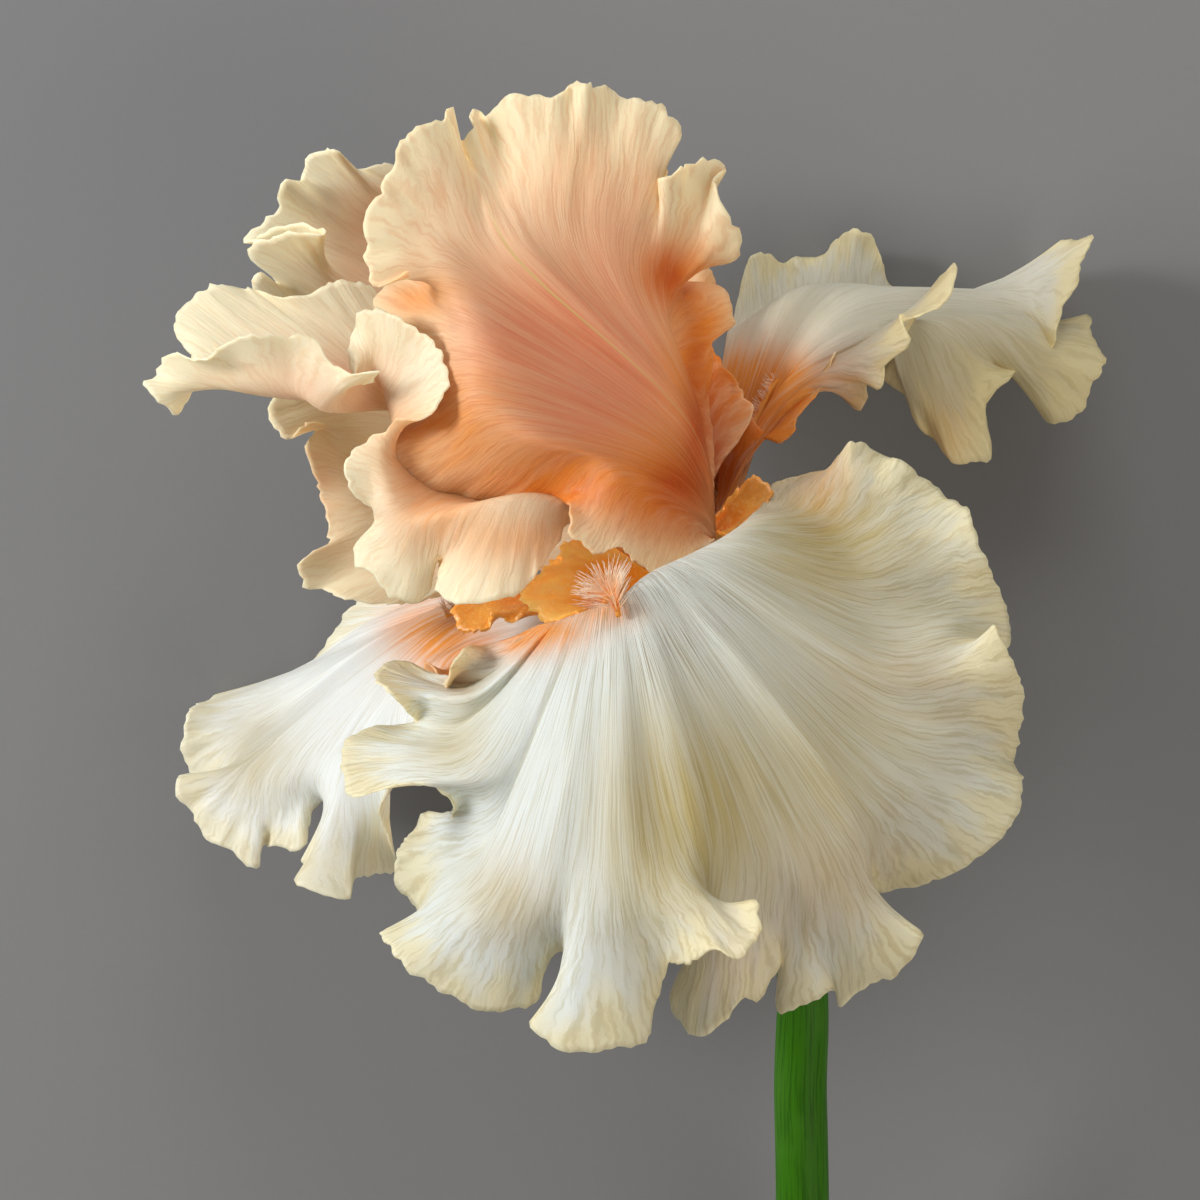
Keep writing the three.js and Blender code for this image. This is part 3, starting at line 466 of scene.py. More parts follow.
@dataclass(frozen=True)
class Stem:
    """A closed round stalk along a spine."""

    spine: Spine
    radii: Stops
    sides: int
    steps: int
    lobes: int = 0            # ridges that run along it
    ridge: float = 0.0        # their height as a share of the radius

    def grid(self) -> tuple[np.ndarray, np.ndarray, np.ndarray]:
        """The stalk's form.

        Returns:
            Points in millimetres, faces, and a map of turns round and share along.
        """
        shares = np.linspace(0, 1, self.steps + 1)
        angle = np.arange(self.sides) * 2 * math.pi / self.sides
        radius = profile(self.radii, shares)[:, None] * (1 + self.ridge * np.cos(self.lobes * angle))[None]
        ring = self.spine.wrapped(radius, angle)
        index = np.arange(radius.size).reshape(radius.shape)
        after = np.roll(index, -1, axis=1)
        foot, head = index.size, index.size + 1
        first = np.stack(np.broadcast_arrays(after[0], index[0], foot, foot), axis=-1)
        final = np.stack(np.broadcast_arrays(index[-1], after[-1], head, head), axis=-1)
        centres, _, _ = self.spine.frames(self.steps + 1)
        points = np.concatenate((ring.reshape(-1, 3), centres[:1], centres[-1:]))
        turns = np.append(np.tile(angle / (2 * math.pi), self.steps + 1), (0.5, 0.5))
        uv = np.stack((turns, np.append(np.repeat(shares, self.sides), (0, 1))), axis=-1)
        return points, np.concatenate((walls(index), first, final)), uv

    def mesh(self, name: str) -> bpy.types.Mesh:
        """The stalk as a mesh."""
        return new_mesh(name, *self.grid())


# ---------------------------------------------------------------- the plans of the petals and style arms
FRONT_FALL = Blade(
    claw=-8,
    turn=1,
    neck=((-24, -12, 18), (-18, -12, 22), (-12, -10, 22), (-6, -7, 19), (0, -4, 13)),
    veins=(
        (-35.5, -14.8, 20, -30, -13, 24, -25, -11, 29), (-38.5, -15, 26), (-40.5, -18, 24),
        (-42.5, -23.5, 14, -34, -19, 22), (-46, -18.5, 10), (-50.5, -17.3, 10, -38, -21.5, 17),
        (-53.7, -20, 15), (-50.5, -22.8, 24, -37, -23, 28), (-46.5, -28, 17),
        (-49.5, -28.3, 10, -39, -28.5, 24), (-55, -28.7, 13), (-59.3, -32.5, 22, -39, -32, 35),
        (-58.7, -37, 31), (-57.3, -40.5, 36, -37.5, -36, 39.5), (-50, -38.2, 38),
        (-44, -38.3, 37, -33.5, -37, 40.5), (-40.5, -42, 32), (-41.5, -44.2, 20),
        (-45, -43, 9, -33, -41, 38.5), (-47.6, -47, 9), (-49.8, -49.5, 18, -33, -44, 37.5),
        (-50.4, -55, 15), (-46.5, -59, 19, -33.5, -47.5, 37.5), (-47, -61.5, 30),
        (-52.3, -63.2, 42, -36, -51.5, 43), (-50.5, -66.7, 46, -34, -53.5, 46.5, -17.5, -9.5, 36),
        (-47, -70.6, 48), (-41, -74, 48, -30, -55, 49.5), (-36, -76.6, 47), (-31, -76.5, 46, -26, -56, 51),
        (-26, -75.2, 44), (-25, -71, 42), (-22.5, -66.8, 41), (-20.5, -68.5, 44, -21, -56, 51.5),
        (-20.2, -74, 46), (-23.5, -78, 50), (-27.2, -78.6, 54), (-24.5, -82, 56),
        (-20, -83.5, 57, -16, -57, 53.5), (-13, -83, 56), (-8, -82, 53), (-6.3, -77, 50), (-4.5, -72, 50),
        (-3.5, -68.3, 52, -8, -54, 54, -12, -8, 38.5), (0, -68.8, 60), (4, -66.2, 65), (8.5, -67.8, 66),
        (11.6, -64, 64), (11, -58, 60, 0, -51, 52), (6, -62.5, 46), (0, -67, 38), (-3.3, -75, 38),
        (-1, -79.5, 40), (1.5, -81, 41, 6, -48.5, 47.5), (5.5, -79, 42), (8.5, -75, 42), (12, -74.3, 38),
        (16.5, -66, 34, 13, -49, 44), (15, -72, 31), (15.5, -77, 34), (20, -75.3, 36),
        (24.5, -73, 34, 19, -50, 42.5, -7, -4, 37), (25.5, -75.8, 34), (29, -73.3, 36), (35.5, -70, 38),
        (39.7, -64, 38), (35, -61, 34, 27, -46, 39.5), (30, -58, 26), (29, -57, 20), (33, -56, 18),
        (40, -55, 24, 30, -41, 38), (46, -52.5, 26), (52, -47.8, 26), (55.5, -43.5, 24, 33, -34, 34),
        (56.4, -38, 22), (55.2, -34, 18), (56.3, -28, 22, 34, -26, 30), (57, -22, 26), (54.8, -17.5, 30),
        (51.8, -11.2, 30, 34, -18, 30, 0, 0.5, 32), (54, -15, 14), (54, -9, 12, 33, -11, 24),
        (52.3, -4, 14), (49.8, 1, 16), (47.5, 8, 14, 30, -2, 22), (44.8, 9.8, 10), (41.5, 12.5, 6),
        (36, 17, 6, 26, 5, 16, 6, 4, 26), (33, 17.5, 2), (28.5, 20.3, 4), (26.5, 19.5, 4, 21, 9, 12),
        (23.5, 15.8, -4), (19, 14.5, -6, 15, 9, 6), (14, 13, -8, 12, 9, 6, 9, 6, 18),
    ),
    warm=tints(
        (-29, -14, 8, 3, 0.7), (-24, -12, 7, 2.5, 0.9), (-15, -9, 6, 2, 0.7), (-40, -20, 3, 3, 0.2),
        (23, 14, 5, 8, 0.25),
    ),
    # painted shade on the right of the fall, which turns away from the light, and in its hollows
    painted_shade=tints(
        (42, -18, 24, 30, 0.55), (2, -43, 16, 20, 1), (22, -36, 14, 18, 0.6), (30, -58, 12, 10, 0.5),
        (24, 4, 17, 15, 1), (-38, -22, 5, 7, 0.4), (-31, -57, 8, 8, 0.6), (-40, -32, 7, 5, 0.6),
        (-6, -46, 9, 22, 0.6),
    ),
    rosy=tints((36, -19, 14, 6, 0.14), (24, -54, 12, 10, 0.2), (8, -70, 8, 9, 0.3), (-30, -55, 6, 8, 0.08)),
    ink=tints((-9, -12, 13, 9, 1), (-2, -4, 9, 6, 0.8)),
)

LEFT_FALL = Blade(
    claw=-120,
    turn=-1,
    neck=((-11, -11.5, 0.5), (-14, -10.5, -3), (-16, -8.5, -8), (-14, -6, -12), (-10, -5.5, -12)),
    veins=(
        (-36.5, -18.5, 0.5, -32, -17, -0.5, -20, -13, -1), (-39, -21.5, 2.5), (-42, -21.5, 4),
        (-45, -17, 0), (-46, -22, -1, -40, -16, -4, -25, -11.5, -4), (-47, -29, 0), (-48.5, -31, -3),
        (-49, -33, -6), (-50, -33, -10, -46, -20, -8, -31, -11.5, -7), (-50, -38, -6), (-53, -42.5, -4),
        (-51.5, -47, -10, -51, -26, -10), (-50, -52.5, -12), (-53, -53.5, -12),
        (-56, -53.8, -8, -55, -31, -12, -36, -11.5, -10), (-57.5, -54.5, -4), (-58, -57.8, -2),
        (-62.5, -56.8, -2), (-67, -54.5, -4), (-65, -52.5, -8),
        (-66, -51, -10, -60, -34, -15, -40, -11, -14), (-62, -49, -16), (-60.5, -42.5, -24),
        (-62.5, -41, -26), (-64.5, -44, -22, -64, -35, -18), (-66, -49.3, -18), (-70, -49, -22),
        (-72.5, -48.5, -26, -69, -35, -21), (-74, -52.5, -22), (-79, -48.7, -24),
        (-83, -46.5, -26, -73, -33.5, -25, -42, -10, -18), (-85, -42.5, -28), (-87.5, -38.5, -28),
        (-84.5, -36.6, -31, -70, -29.5, -27), (-77, -39.5, -38), (-83.5, -39, -44, -70, -26.5, -39),
        (-86.2, -31.5, -45, -70.5, -24.5, -41, -41, -7.5, -23), (-85, -25.5, -46),
        (-83, -24.5, -54, -65, -19, -41), (-80, -22.7, -62.3),
        (-74, -22.5, -63, -54, -12.8, -37, -33, -6, -21), (-67.3, -20.8, -60),
        (-61.8, -14, -52, -46, -7, -31), (-58, -8.3, -47), (-51, -4.8, -41, -33, -4, -24, -23, -4, -17),
        (-36, -3, -30), (-27, -2, -22, -22, -3, -17, -17, -3.5, -14),
    ),
    warm=tints((-43, -13, 9, 7, 0.9), (-38, -20, 6, 6, 0.8), (-50, -12, 5, 4, 0.4)),
    # painted shade on the back lobe and the lower margin
    painted_shade=tints((-78, -36, 11, 11, 0.65), (-60, -50, 10, 7, 0.25)),
)

RIGHT_FALL = Blade(
    claw=117,
    turn=1,
    neck=((3, 3, -6), (5, 5, -9), (7, 8, -13), (5, 8, -18), (2, 6, -16)),
    veins=(
        (6, 22, -17, 5, 15, -15.5, 4.5, 8.5, -12), (8.8, 25.5, -16), (11.4, 22.6, -13.5), (15.3, 19.7, -10),
        (17.5, 21.5, -9), (18.5, 25, -11, 13, 21, -12.5, 7.5, 13, -13), (21.5, 28, -14), (24.5, 34, -15),
        (25, 35, -19, 17, 26, -12, 9.5, 17, -13), (26, 31, -20), (28.3, 25.6, -18), (30.5, 28, -17),
        (29, 33, -19, 20, 29.5, -13, 11.5, 20.5, -14), (31, 29.5, -13), (32.7, 29, -11), (33.3, 33, -11),
        (37.3, 36.5, -9, 24.5, 33, -14.5), (37, 39.5, -9), (35.7, 42, -12), (38.3, 41.2, -9),
        (41, 42.5, -8, 29.5, 37, -16, 14, 27, -17.5), (43, 43.5, -8), (45.5, 48, -11), (44.8, 50.3, -15),
        (40, 45, -24, 32, 39, -16), (37, 38, -27), (33.2, 31.5, -27), (36.5, 27.5, -27),
        (38.5, 22.8, -25, 33, 39.5, -22, 18, 32.5, -21), (41.3, 20.5, -26), (44.5, 16.5, -23),
        (48, 16.6, -25), (51.3, 18, -27), (50, 26, -31, 40, 40, -26), (55, 31.5, -34), (56, 32.5, -44),
        (59, 28, -44), (60.5, 24, -40), (63, 23, -38), (66.5, 25.3, -38),
        (68.5, 30, -38, 49, 41.5, -34, 22.5, 37, -23), (70.5, 34, -40), (68.3, 38, -46), (67.8, 41.3, -50),
        (65, 40.5, -49), (62.5, 38, -44, 54, 42.5, -40, 26, 41, -27), (61.8, 36, -39), (62, 38, -37),
        (63.2, 42, -38), (65.3, 46.5, -40), (66.5, 50.5, -42, 53, 46.2, -43), (68.7, 54.8, -44),
        (66, 54, -50), (63.3, 54.2, -52), (61.4, 52, -56), (56, 46, -62.4, 43, 44.5, -50, 24, 45, -33),
        (48, 43, -63), (40, 42, -62.6), (33, 46, -60), (32.7, 50, -54), (31.5, 54, -54), (28.5, 56.3, -52),
        (25.5, 55, -57, 24, 42.5, -50, 16.5, 45, -32), (22, 51.8, -62.6), (18, 51.3, -61),
        (15.5, 50.2, -62.4), (13, 52.2, -54), (10.5, 52.2, -52), (9.2, 49, -50),
        (8, 43.8, -46, 7, 39.5, -42, 6, 36.5, -31),
    ),
    warm=tints(
        (6, 14, 6, 9, 1), (8, 27, 11, 10, 1), (16, 26, 9, 9, 1), (12, 32, 11, 4.5, 0.9),
        (46, 22, 5, 8, 0.2), (29, 30, 4, 6, 0.25),
    ),
    # deep orange with painted shade where the haft lies under the standards
    ember_and_shade=tints((5, 17, 5, 9, 0.85), (10, 25, 10, 8, 0.45)),
    # painted shade on the far lobes and the shaded body
    painted_shade=tints((60, 32, 22, 12, 0.9), (44, 22, 9, 8, 1), (42, 36, 10, 10, 0.4), (20, 46, 14, 6, 0.3)),
)

FRONT_STANDARD = Blade(
    claw=55,
    turn=1,
    neck=((3.9, 3.5, 12), (4.1, 5, 9), (3.9, 7, 4)),
    veins=(
        (4, 3, 13, 3, 4, 13, 3.8, 4, 12.5), (-0.5, 0.5, 18), (-4.7, -2, 24, -2, 6, 21, 2, 6, 14),
        (-8, -1, 27), (-12, 2, 29), (-16, 1.2, 31, -10, 12, 28, 1, 8.5, 15), (-20, 4, 32), (-20.5, 8.5, 31),
        (-22, 10, 22, -16, 17, 28, -0.5, 11, 13.5), (-30, 9.6, 15), (-36, 9.3, 13),
        (-41, 10.3, 14, -27, 20, 31, -2, 13.5, 12.5), (-45.5, 11.2, 16), (-49, 15, 18),
        (-51.2, 19.5, 19, -34, 27, 30, -2.6, 16.5, 12), (-49, 25, 15), (-49, 32, 12),
        (-52, 38, 8, -35, 35, 28), (-53.7, 44, 8), (-49, 48.5, 10),
        (-44, 50.5, 14, -36, 42, 24, -1.6, 19.5, 11.5), (-48, 49, 22), (-53, 46.2, 24), (-55.2, 51, 22),
        (-54.8, 58, 20, -38, 50, 20), (-52, 64, 18), (-49, 71, 15), (-46, 74, 13), (-42, 75.5, 10),
        (-41.5, 77, 8), (-40.2, 76.5, 6, -32, 52, 18, 0, 22.5, 11), (-41, 70, 0),
        (-39.5, 71, 4, -29, 53, 18), (-37.2, 73.5, 6), (-37.3, 75.5, 0), (-36, 76.3, -2), (-34.5, 75.5, 2),
        (-31, 79, 6, -25, 54, 16), (-26, 78.5, 8), (-22.5, 79, 8.5), (-20, 81, 6),
        (-17.8, 81.2, 9, -18, 54, 14), (-16.5, 80.6, 6.5), (-13.5, 80.3, 5),
        (-10.5, 78.2, 6, -13, 52, 13, 1.1, 24, 9.5), (-6, 78.2, 6), (-3.5, 76, 6),
        (-1.2, 72, 6, -9, 50, 11), (-3.8, 68.7, 5), (-3.6, 66.6, 5), (-4.8, 65.4, 6, -7, 48, 10),
        (-5, 64.9, 8), (-3.8, 65.2, 10), (-2, 66.4, 9), (0, 67.5, 6, -4.5, 46, 8, 1.9, 24, 8.5),
        (4, 68.2, 4), (6, 66.2, 2), (4.2, 64.5, 6), (6, 60, 8), (8.8, 54.5, 6, -3.6, 43.5, 6.5),
        (7.3, 51, 4), (3, 52.5, 2), (-4, 52.5, -3), (-3, 48, -9, -4, 40, 6, 2.4, 21, 7), (5.2, 46.3, -10),
        (7.1, 42.5, -10), (7.2, 39.8, -12, -3.2, 35, 4.5), (4, 37.5, -10), (3.8, 33, -10),
        (3.2, 26, -8, 0, 26, 2.5, 3.2, 14.5, 4.5), (3.8, 16, -2), (4, 9, 2, 3.8, 10, 1, 3.9, 8, 2.5),
    ),
    warm=tints(
        (-42, 22, 12, 11, 0.75), (2, 36, 6, 14, 1), (-4, 13, 10, 10, 0.95), (-22, 13, 12, 6, 0.95),
        (-46, 45, 7, 4, 0.65), (-2, 49, 6, 5, 0.9), (-19, 68, 6, 7, 0.2), (-8, 66, 4, 6, 0.15),
    ),
    rosy=tints(
        (-14, 26, 18, 18, 1), (-26, 38, 15, 12, 0.8), (-10, 58, 9, 13, 0.45), (-14, 7, 9, 5, 0.5),
        (-18, 12, 8, 6, 0.6), (4, 40, 5, 9, 0.3),
    ),
    # deep orange with painted shade in the valley at the base and along the right side
    ember_and_shade=tints(
        (-2.5, 12.5, 6, 6, 0.95), (1.5, 22, 2.6, 9, 0.9), (-3.5, 49, 4, 5, 0.9), (1, 34, 2.2, 9, 0.6),
        (-19, 12, 10, 4.5, 0.4),
    ),
    # painted shade on the right margin's folds
    painted_shade=tints((2, 60, 9, 9, 0.5), (6, 44, 4, 7, 0.6)),
    midrib=31,
)

LEFT_STANDARD = Blade(
    claw=-66,
    turn=-1,
    neck=((-9, 0, 8), (-11, 1, 6), (-13, 3, 3), (-11, 4, -1), (-8, 2, -3)),
    veins=(
        (-20.5, 8, 18, -18, 9, 21, -13, 4, 11), (-22.5, 3, 24), (-25, -0.5, 27),
        (-28.5, -5.5, 30, -26, 10.2, 25, -17, 6, 12), (-33, -7, 32), (-38, -7.3, 32), (-42, -6.5, 30),
        (-43.5, -4.5, 28, -36, 9, 27, -24, 8, 12), (-42.8, 0, 22), (-44.5, -5.5, 24),
        (-48, -7.2, 26, -44, 7, 27, -30, 9, 12), (-51.5, -5.5, 26), (-54, -2.5, 26), (-57, -0.5, 24),
        (-55.5, 4, 22, -49, 8, 26, -36, 12, 10), (-53, 7.5, 22), (-57, 11, 24),
        (-59, 15, 24, -51, 13, 24, -39, 15, 8), (-57.5, 18.5, 22), (-54, 21, 22),
        (-49.5, 24, 26, -50, 19, 19, -42, 18, 7), (-45, 24.5, 28), (-41.8, 28, 28), (-40.9, 32, 26),
        (-43, 36, 24, -51, 26, 17, -43, 21, 5), (-47, 39.5, 22), (-51, 42.3, 20),
        (-56, 42.5, 16, -54, 31, 14), (-57.5, 37, 14), (-57.8, 32.5, 16), (-55, 30, 22, -60, 26, 20),
        (-52.7, 32.5, 26), (-58, 31.5, 24), (-61, 34, 20), (-65, 38, 18),
        (-70, 38, 20, -67, 28, 20, -40, 24, 1), (-74, 38.5, 22), (-78.5, 37, 22), (-82, 34, 22),
        (-85, 34, 18), (-89, 35.5, 14), (-91, 31, 12), (-92.5, 29.3, 14, -76, 29, 14, -34, 22, 0),
        (-90, 26.7, 16), (-86.5, 25.3, 12), (-84, 33, 2), (-87.2, 38.5, -4), (-86, 43, -6, -72, 33, 2),
        (-83, 46, -6, -66, 34, 0, -27, 17, -2), (-81, 47, -6), (-75, 46, -8, -58, 33, -2, -23, 14, -3),
        (-69.5, 44.8, -6), (-63, 46, -8), (-58, 47.5, -10), (-53.5, 46, -12, -40, 26, -6, -15, 10, -4),
    ),
    warm=tints((-43, 8, 8, 7, 0.5), (-49, 21, 6, 6, 0.5), (-30, 3, 9, 5, 0.5)),
    # deep orange with painted shade in the hollow by the margin
    ember_and_shade=tints((-47, 17, 3, 6, 0.3)),
    rosy=tints((-62, 31, 14, 6, 0.55), (-50, 12, 8, 7, 0.12)),
)

BACK_STANDARD = Blade(
    claw=180,
    turn=-1,
    neck=((-7, -1, -8), (-2, 2, -11), (3, 3, -8)),
    veins=(
        (-42, -6, -8, -30, -2, -6, -14, -2, -6), (-47, -7.3, -6), (-53, -7.5, -4),
        (-59, -6.8, -4, -42, 2, -10, -16, 0, -8), (-62.5, -5, -8), (-65, -4.8, -8), (-67, -1.5, -6),
        (-65.5, 0.5, -6), (-61.5, 3, -10, -46, 8, -16, -18, 4, -10), (-62.5, 10, -14), (-64.5, 15, -12),
        (-65, 20, -10), (-62.5, 23, -14, -48, 18, -22, -20, 8, -12), (-66, 23, -10), (-68.5, 20.5, -8),
        (-71.5, 25, -10), (-70, 35, -16, -49, 28, -26, -20, 12, -14), (-74.5, 45, -14), (-73, 49, -12),
        (-70, 47, -16), (-75, 52.5, -14), (-69, 55.3, -8), (-62, 55.5, -6, -52, 42, -24, -20, 16, -16),
        (-68, 57, -14), (-75.8, 54, -18), (-72.5, 57.5, -20), (-70.3, 60, -20),
        (-69, 64.5, -16, -49, 50, -28), (-66, 64.5, -22), (-65.5, 67, -22), (-63, 69.3, -20),
        (-60, 69.8, -16, -45, 55, -28, -19, 20, -18), (-58, 66, -26), (-53, 67.5, -26), (-48, 67, -28),
        (-42, 70, -26, -36, 55, -30), (-34, 72, -28), (-26, 71, -26, -24, 52, -30, -12, 22, -20),
        (-18, 70, -28), (-10, 66, -26, -12, 46, -28), (-3, 60, -28), (2, 54, -24, -3, 38, -24, -4, 20, -18),
        (4, 47, -26), (3, 40, -22), (5.5, 33, -13, 2, 28, -14.5), (8.8, 29, -9.5), (10.4, 26, -7.5),
        (9, 21.8, -6.5, 4, 17.5, -9, -0.5, 9.5, -11.5), (6.4, 17.8, -6.5),
        (3.9, 14.6, -7, 2, 9.5, -8.5, -1, 3, -9.5),
    ),
    warm=tints((5, 36, 11, 22, 0.9), (-66, 12, 7, 10, 0.4), (-50, 62, 9, 7, 0.35)),
    # deep orange with painted shade in the column behind the front standard
    ember_and_shade=tints((3, 20, 5, 11, 0.85), (3, 32, 4, 5, 0.5)),
    rosy=tints((-61, 60, 10, 9, 0.45), (-60, 50, 9, 6, 0.3)),
    # painted shade on the back frill
    painted_shade=tints((-70, 58, 8, 10, 0.3)),
)

FRONT_ARM = Blade(
    claw=-8,
    turn=1,
    neck=((-8, -9, 8), (-8, -6, 10), (-5, -5, 9)),
    veins=(
        (-19, -9, 25, -17, -8.3, 19, -13, -8.5, 13), (-21, -9.8, 26), (-23.2, -10.5, 26, -20, -8, 20),
        (-26, -8.4, 25), (-29, -6, 25, -23, -6, 20, -15, -7, 15), (-27.5, -4.4, 25), (-25.5, -2.4, 23),
        (-24.3, -0.7, 22, -20, -1.5, 18, -13, -4.5, 14), (-22, 0, 20), (-21.5, 2, 16, -18, 0, 14),
        (-19, 3, 12), (-16, 3, 9, -13, 0.5, 11, -9, -2, 10), (-13, 2, 7),
        (-10, 0, 6, -8, -1.5, 8, -6, -3, 8),
    ),
)

LEFT_ARM = Blade(
    claw=-120,
    turn=-1,
    neck=((-10, -9, 3), (-12, -7, 0), (-10, -4.5, -4)),
    veins=(
        (-28, -9.5, 9, -24, -8.5, 6, -16, -8, 4), (-31, -10.2, 9), (-33.5, -9.3, 9, -28, -8, 6),
        (-34.8, -11.6, 8), (-38, -12, 7, -31, -8, 4, -19, -7, 1), (-39.5, -10.8, 5), (-40.3, -7, 2),
        (-39, -5, 0, -31, -5, 0, -19, -5, -2), (-36, -3.5, -2), (-31, -3, -4, -25, -3, -4, -16, -3.5, -4),
        (-26, -3, -6), (-22, -3, -7, -18, -3.5, -6, -13, -4, -6),
    ),
)

RIGHT_ARM = Blade(
    claw=117,
    turn=1,
    neck=((0.5, -1, 4), (2.2, -0.5, 1), (1.6, 0.8, -2.5)),
    veins=(
        (3.6, 4.4, 6, 2.8, 2.5, 5, 1.6, 0.8, 4), (6, 4.2, 6.5), (9, 5.6, 6, 6, 4.5, 4), (12, 8, 5),
        (13.8, 11, 3.5, 9, 7, 2.5, 4.6, 3.5, 1), (13.2, 13.2, 2.5), (11, 14, 1.5, 8, 9.5, 1), (9, 12.8, 1),
        (6.5, 10.5, 0, 5, 7, -1, 3, 4.2, -1.5), (5, 8.2, 0), (4, 6, -1, 3, 4.5, -1.5, 1.8, 2.5, -2.5),
    ),
)


# ---------------------------------------------------------------- finishes
@dataclass
class Graph:
    """Adds and links the nodes of one tree."""

    tree: bpy.types.NodeTree

    def feed(self, socket: Socket, value: object) -> None:
        """Gives a socket another node's output, a colour or a number."""
        if isinstance(value, Socket):
            self.tree.links.new(value, socket)
        else:
            socket.default_value = (*value, 1.0) if socket.type == "RGBA" else value

    def add(self, kind: str, inputs: dict | None = None, **settings: object) -> bpy.types.Node:
        """A new node.

        Args:
            kind: the node's type.
            inputs: sockets by name or number, each with what feeds it.
            settings: properties of the node itself.

        Returns:
            The node.
        """
        node = self.tree.nodes.new(kind)
        for key, value in settings.items():
            setattr(node, key, value)
        for key, value in (inputs or {}).items():
            self.feed(node.inputs[key], value)
        return node

    def math(self, operation: str, a: object, b: object = 0.0) -> Socket:
        """The result of a sum on two values or sockets."""
        return self.add("ShaderNodeMath", {0: a, 1: b}, operation=operation).outputs[0]

    def times(self, a: object, b: object) -> Socket:
        """The product of two values or sockets."""
        return self.math("MULTIPLY", a, b)

    def plus(self, a: object, b: object) -> Socket:
        """Two values or sockets added up."""
        return self.math("ADD", a, b)

    def centred(self, noise: Socket, size: object) -> Socket:
        """Noise between 0 and 1 moved to run both ways from 0, and then scaled."""
        return self.times(self.math("SUBTRACT", noise, 0.5), size)

    def mix(self, share: object, a: object, b: object, blend: str = "MIX") -> Socket:
        """A mix of two colours by a share."""
        settings = {"data_type": "RGBA", "blend_type": blend, "clamp_factor": True}
        return self.add("ShaderNodeMix", {0: share, 6: a, 7: b}, **settings).outputs[2]

    def ramp(self, value: object, low: float, high: float) -> Socket:
        """A smooth rise from 0 at low to 1 at high."""
        node = self.add("ShaderNodeMapRange", {0: value, 1: low, 2: high}, interpolation_type="SMOOTHSTEP")
        return node.outputs[0]

    def colours(self, share: object, stops: tuple) -> Socket:
        """A colour that runs through rising stops of (share, colour)."""
        node = self.add("ShaderNodeValToRGB", {0: share})
        band = node.color_ramp
        band.interpolation = "EASE"
        for place, _ in stops[1:-1]:
            band.elements.new(place)
        for element, (place, colour) in zip(band.elements, stops):
            element.position = place
            element.color = (*colour, 1.0)
        return node.outputs[0]

    def noise(self, vector: object, scale: float, detail: float = 2.0) -> Socket:
        """Smooth noise between 0 and 1."""
        return self.add("ShaderNodeTexNoise", {"Vector": vector, "Scale": scale, "Detail": detail}).outputs[0]


def effect(name: str, inputs: dict[str, float | None], outputs: tuple[str, ...]) -> tuple[Graph, dict, dict]:
    """A new shader node group with named sockets.

    Args:
        name: of the group.
        inputs: each input's name and usual value, or None for a vector.
        outputs: names of the outputs.

    Returns:
        The group's graph, its input sockets and its output sockets by name.
    """
    tree = bpy.data.node_groups.new(name, "ShaderNodeTree")
    for socket, value in inputs.items():
        kind = "NodeSocketVector" if value is None else "NodeSocketFloat"
        made = tree.interface.new_socket(socket, in_out="INPUT", socket_type=kind)
        if value is not None:
            made.default_value = value
    for socket in outputs:
        tree.interface.new_socket(socket, in_out="OUTPUT", socket_type="NodeSocketFloat")
    graph = Graph(tree)
    start = graph.add("NodeGroupInput")
    end = graph.add("NodeGroupOutput")
    return graph, {s.name: s for s in start.outputs if s.name}, {s.name: s for s in end.inputs if s.name}


def vein_lines() -> bpy.types.NodeTree:
    """Fine lines that run along a petal with its veins, the broader streaks among them, and the pleats."""
    if "vein_lines" in bpy.data.node_groups:
        return bpy.data.node_groups["vein_lines"]
    graph, given, out = effect(
        "vein_lines",
        {"Across": 0.0, "Along": 0.0, "Lines per mm": 2.0, "Wander": 1.4, "Pleats": 0.0},
        ("Fine", "Broad", "Height"),
    )

    def streaks(across: Socket, wide: float, long: float, detail: float) -> Socket:
        """Noise with so many spots to one unit across and to the whole way along."""
        parts = {0: graph.times(across, wide), 1: graph.times(given["Along"], long)}
        return graph.noise(graph.add("ShaderNodeCombineXYZ", parts).outputs[0], 1.0, detail)

    sway = graph.centred(streaks(given["Across"], 0.2, 6.0, 4.0), given["Wander"])
    fork = graph.centred(streaks(given["Across"], 0.7, 26.0, 2.0), given["Wander"])
    across = graph.plus(given["Across"], graph.plus(sway, graph.times(fork, 0.5)))
    lines = graph.times(across, given["Lines per mm"])
    fine = streaks(lines, 1.0, 9.0, 3.0)
    broad = streaks(lines, 0.17, 5.0, 2.0)
    pleats = graph.times(streaks(across, 0.75, 5.0, 1.0), given["Pleats"])
    near_margin = graph.ramp(given["Along"], 0.62, 0.95)
    height = graph.plus(graph.times(fine, 0.7), graph.times(broad, 0.25))
    graph.feed(out["Fine"], graph.ramp(fine, 0.44, 0.66))
    graph.feed(out["Broad"], graph.ramp(broad, 0.3, 0.7))
    graph.feed(out["Height"], graph.plus(height, graph.times(pleats, near_margin)))
    return graph.tree


def glisten() -> bpy.types.NodeTree:
    """The tiny domed cells of a petal's skin, which catch the light one by one."""
    if "glisten" in bpy.data.node_groups:
        return bpy.data.node_groups["glisten"]
    graph, given, out = effect("glisten", {"Place": None, "Cells per m": 3000.0}, ("Dome", "Odd"))
    node = graph.add("ShaderNodeTexVoronoi", {"Vector": given["Place"], "Scale": given["Cells per m"]})
    graph.feed(out["Dome"], graph.math("SUBTRACT", 1.0, node.outputs["Distance"]))
    graph.feed(out["Odd"], graph.add("ShaderNodeSeparateColor", {0: node.outputs["Color"]}).outputs[0])
    return graph.tree


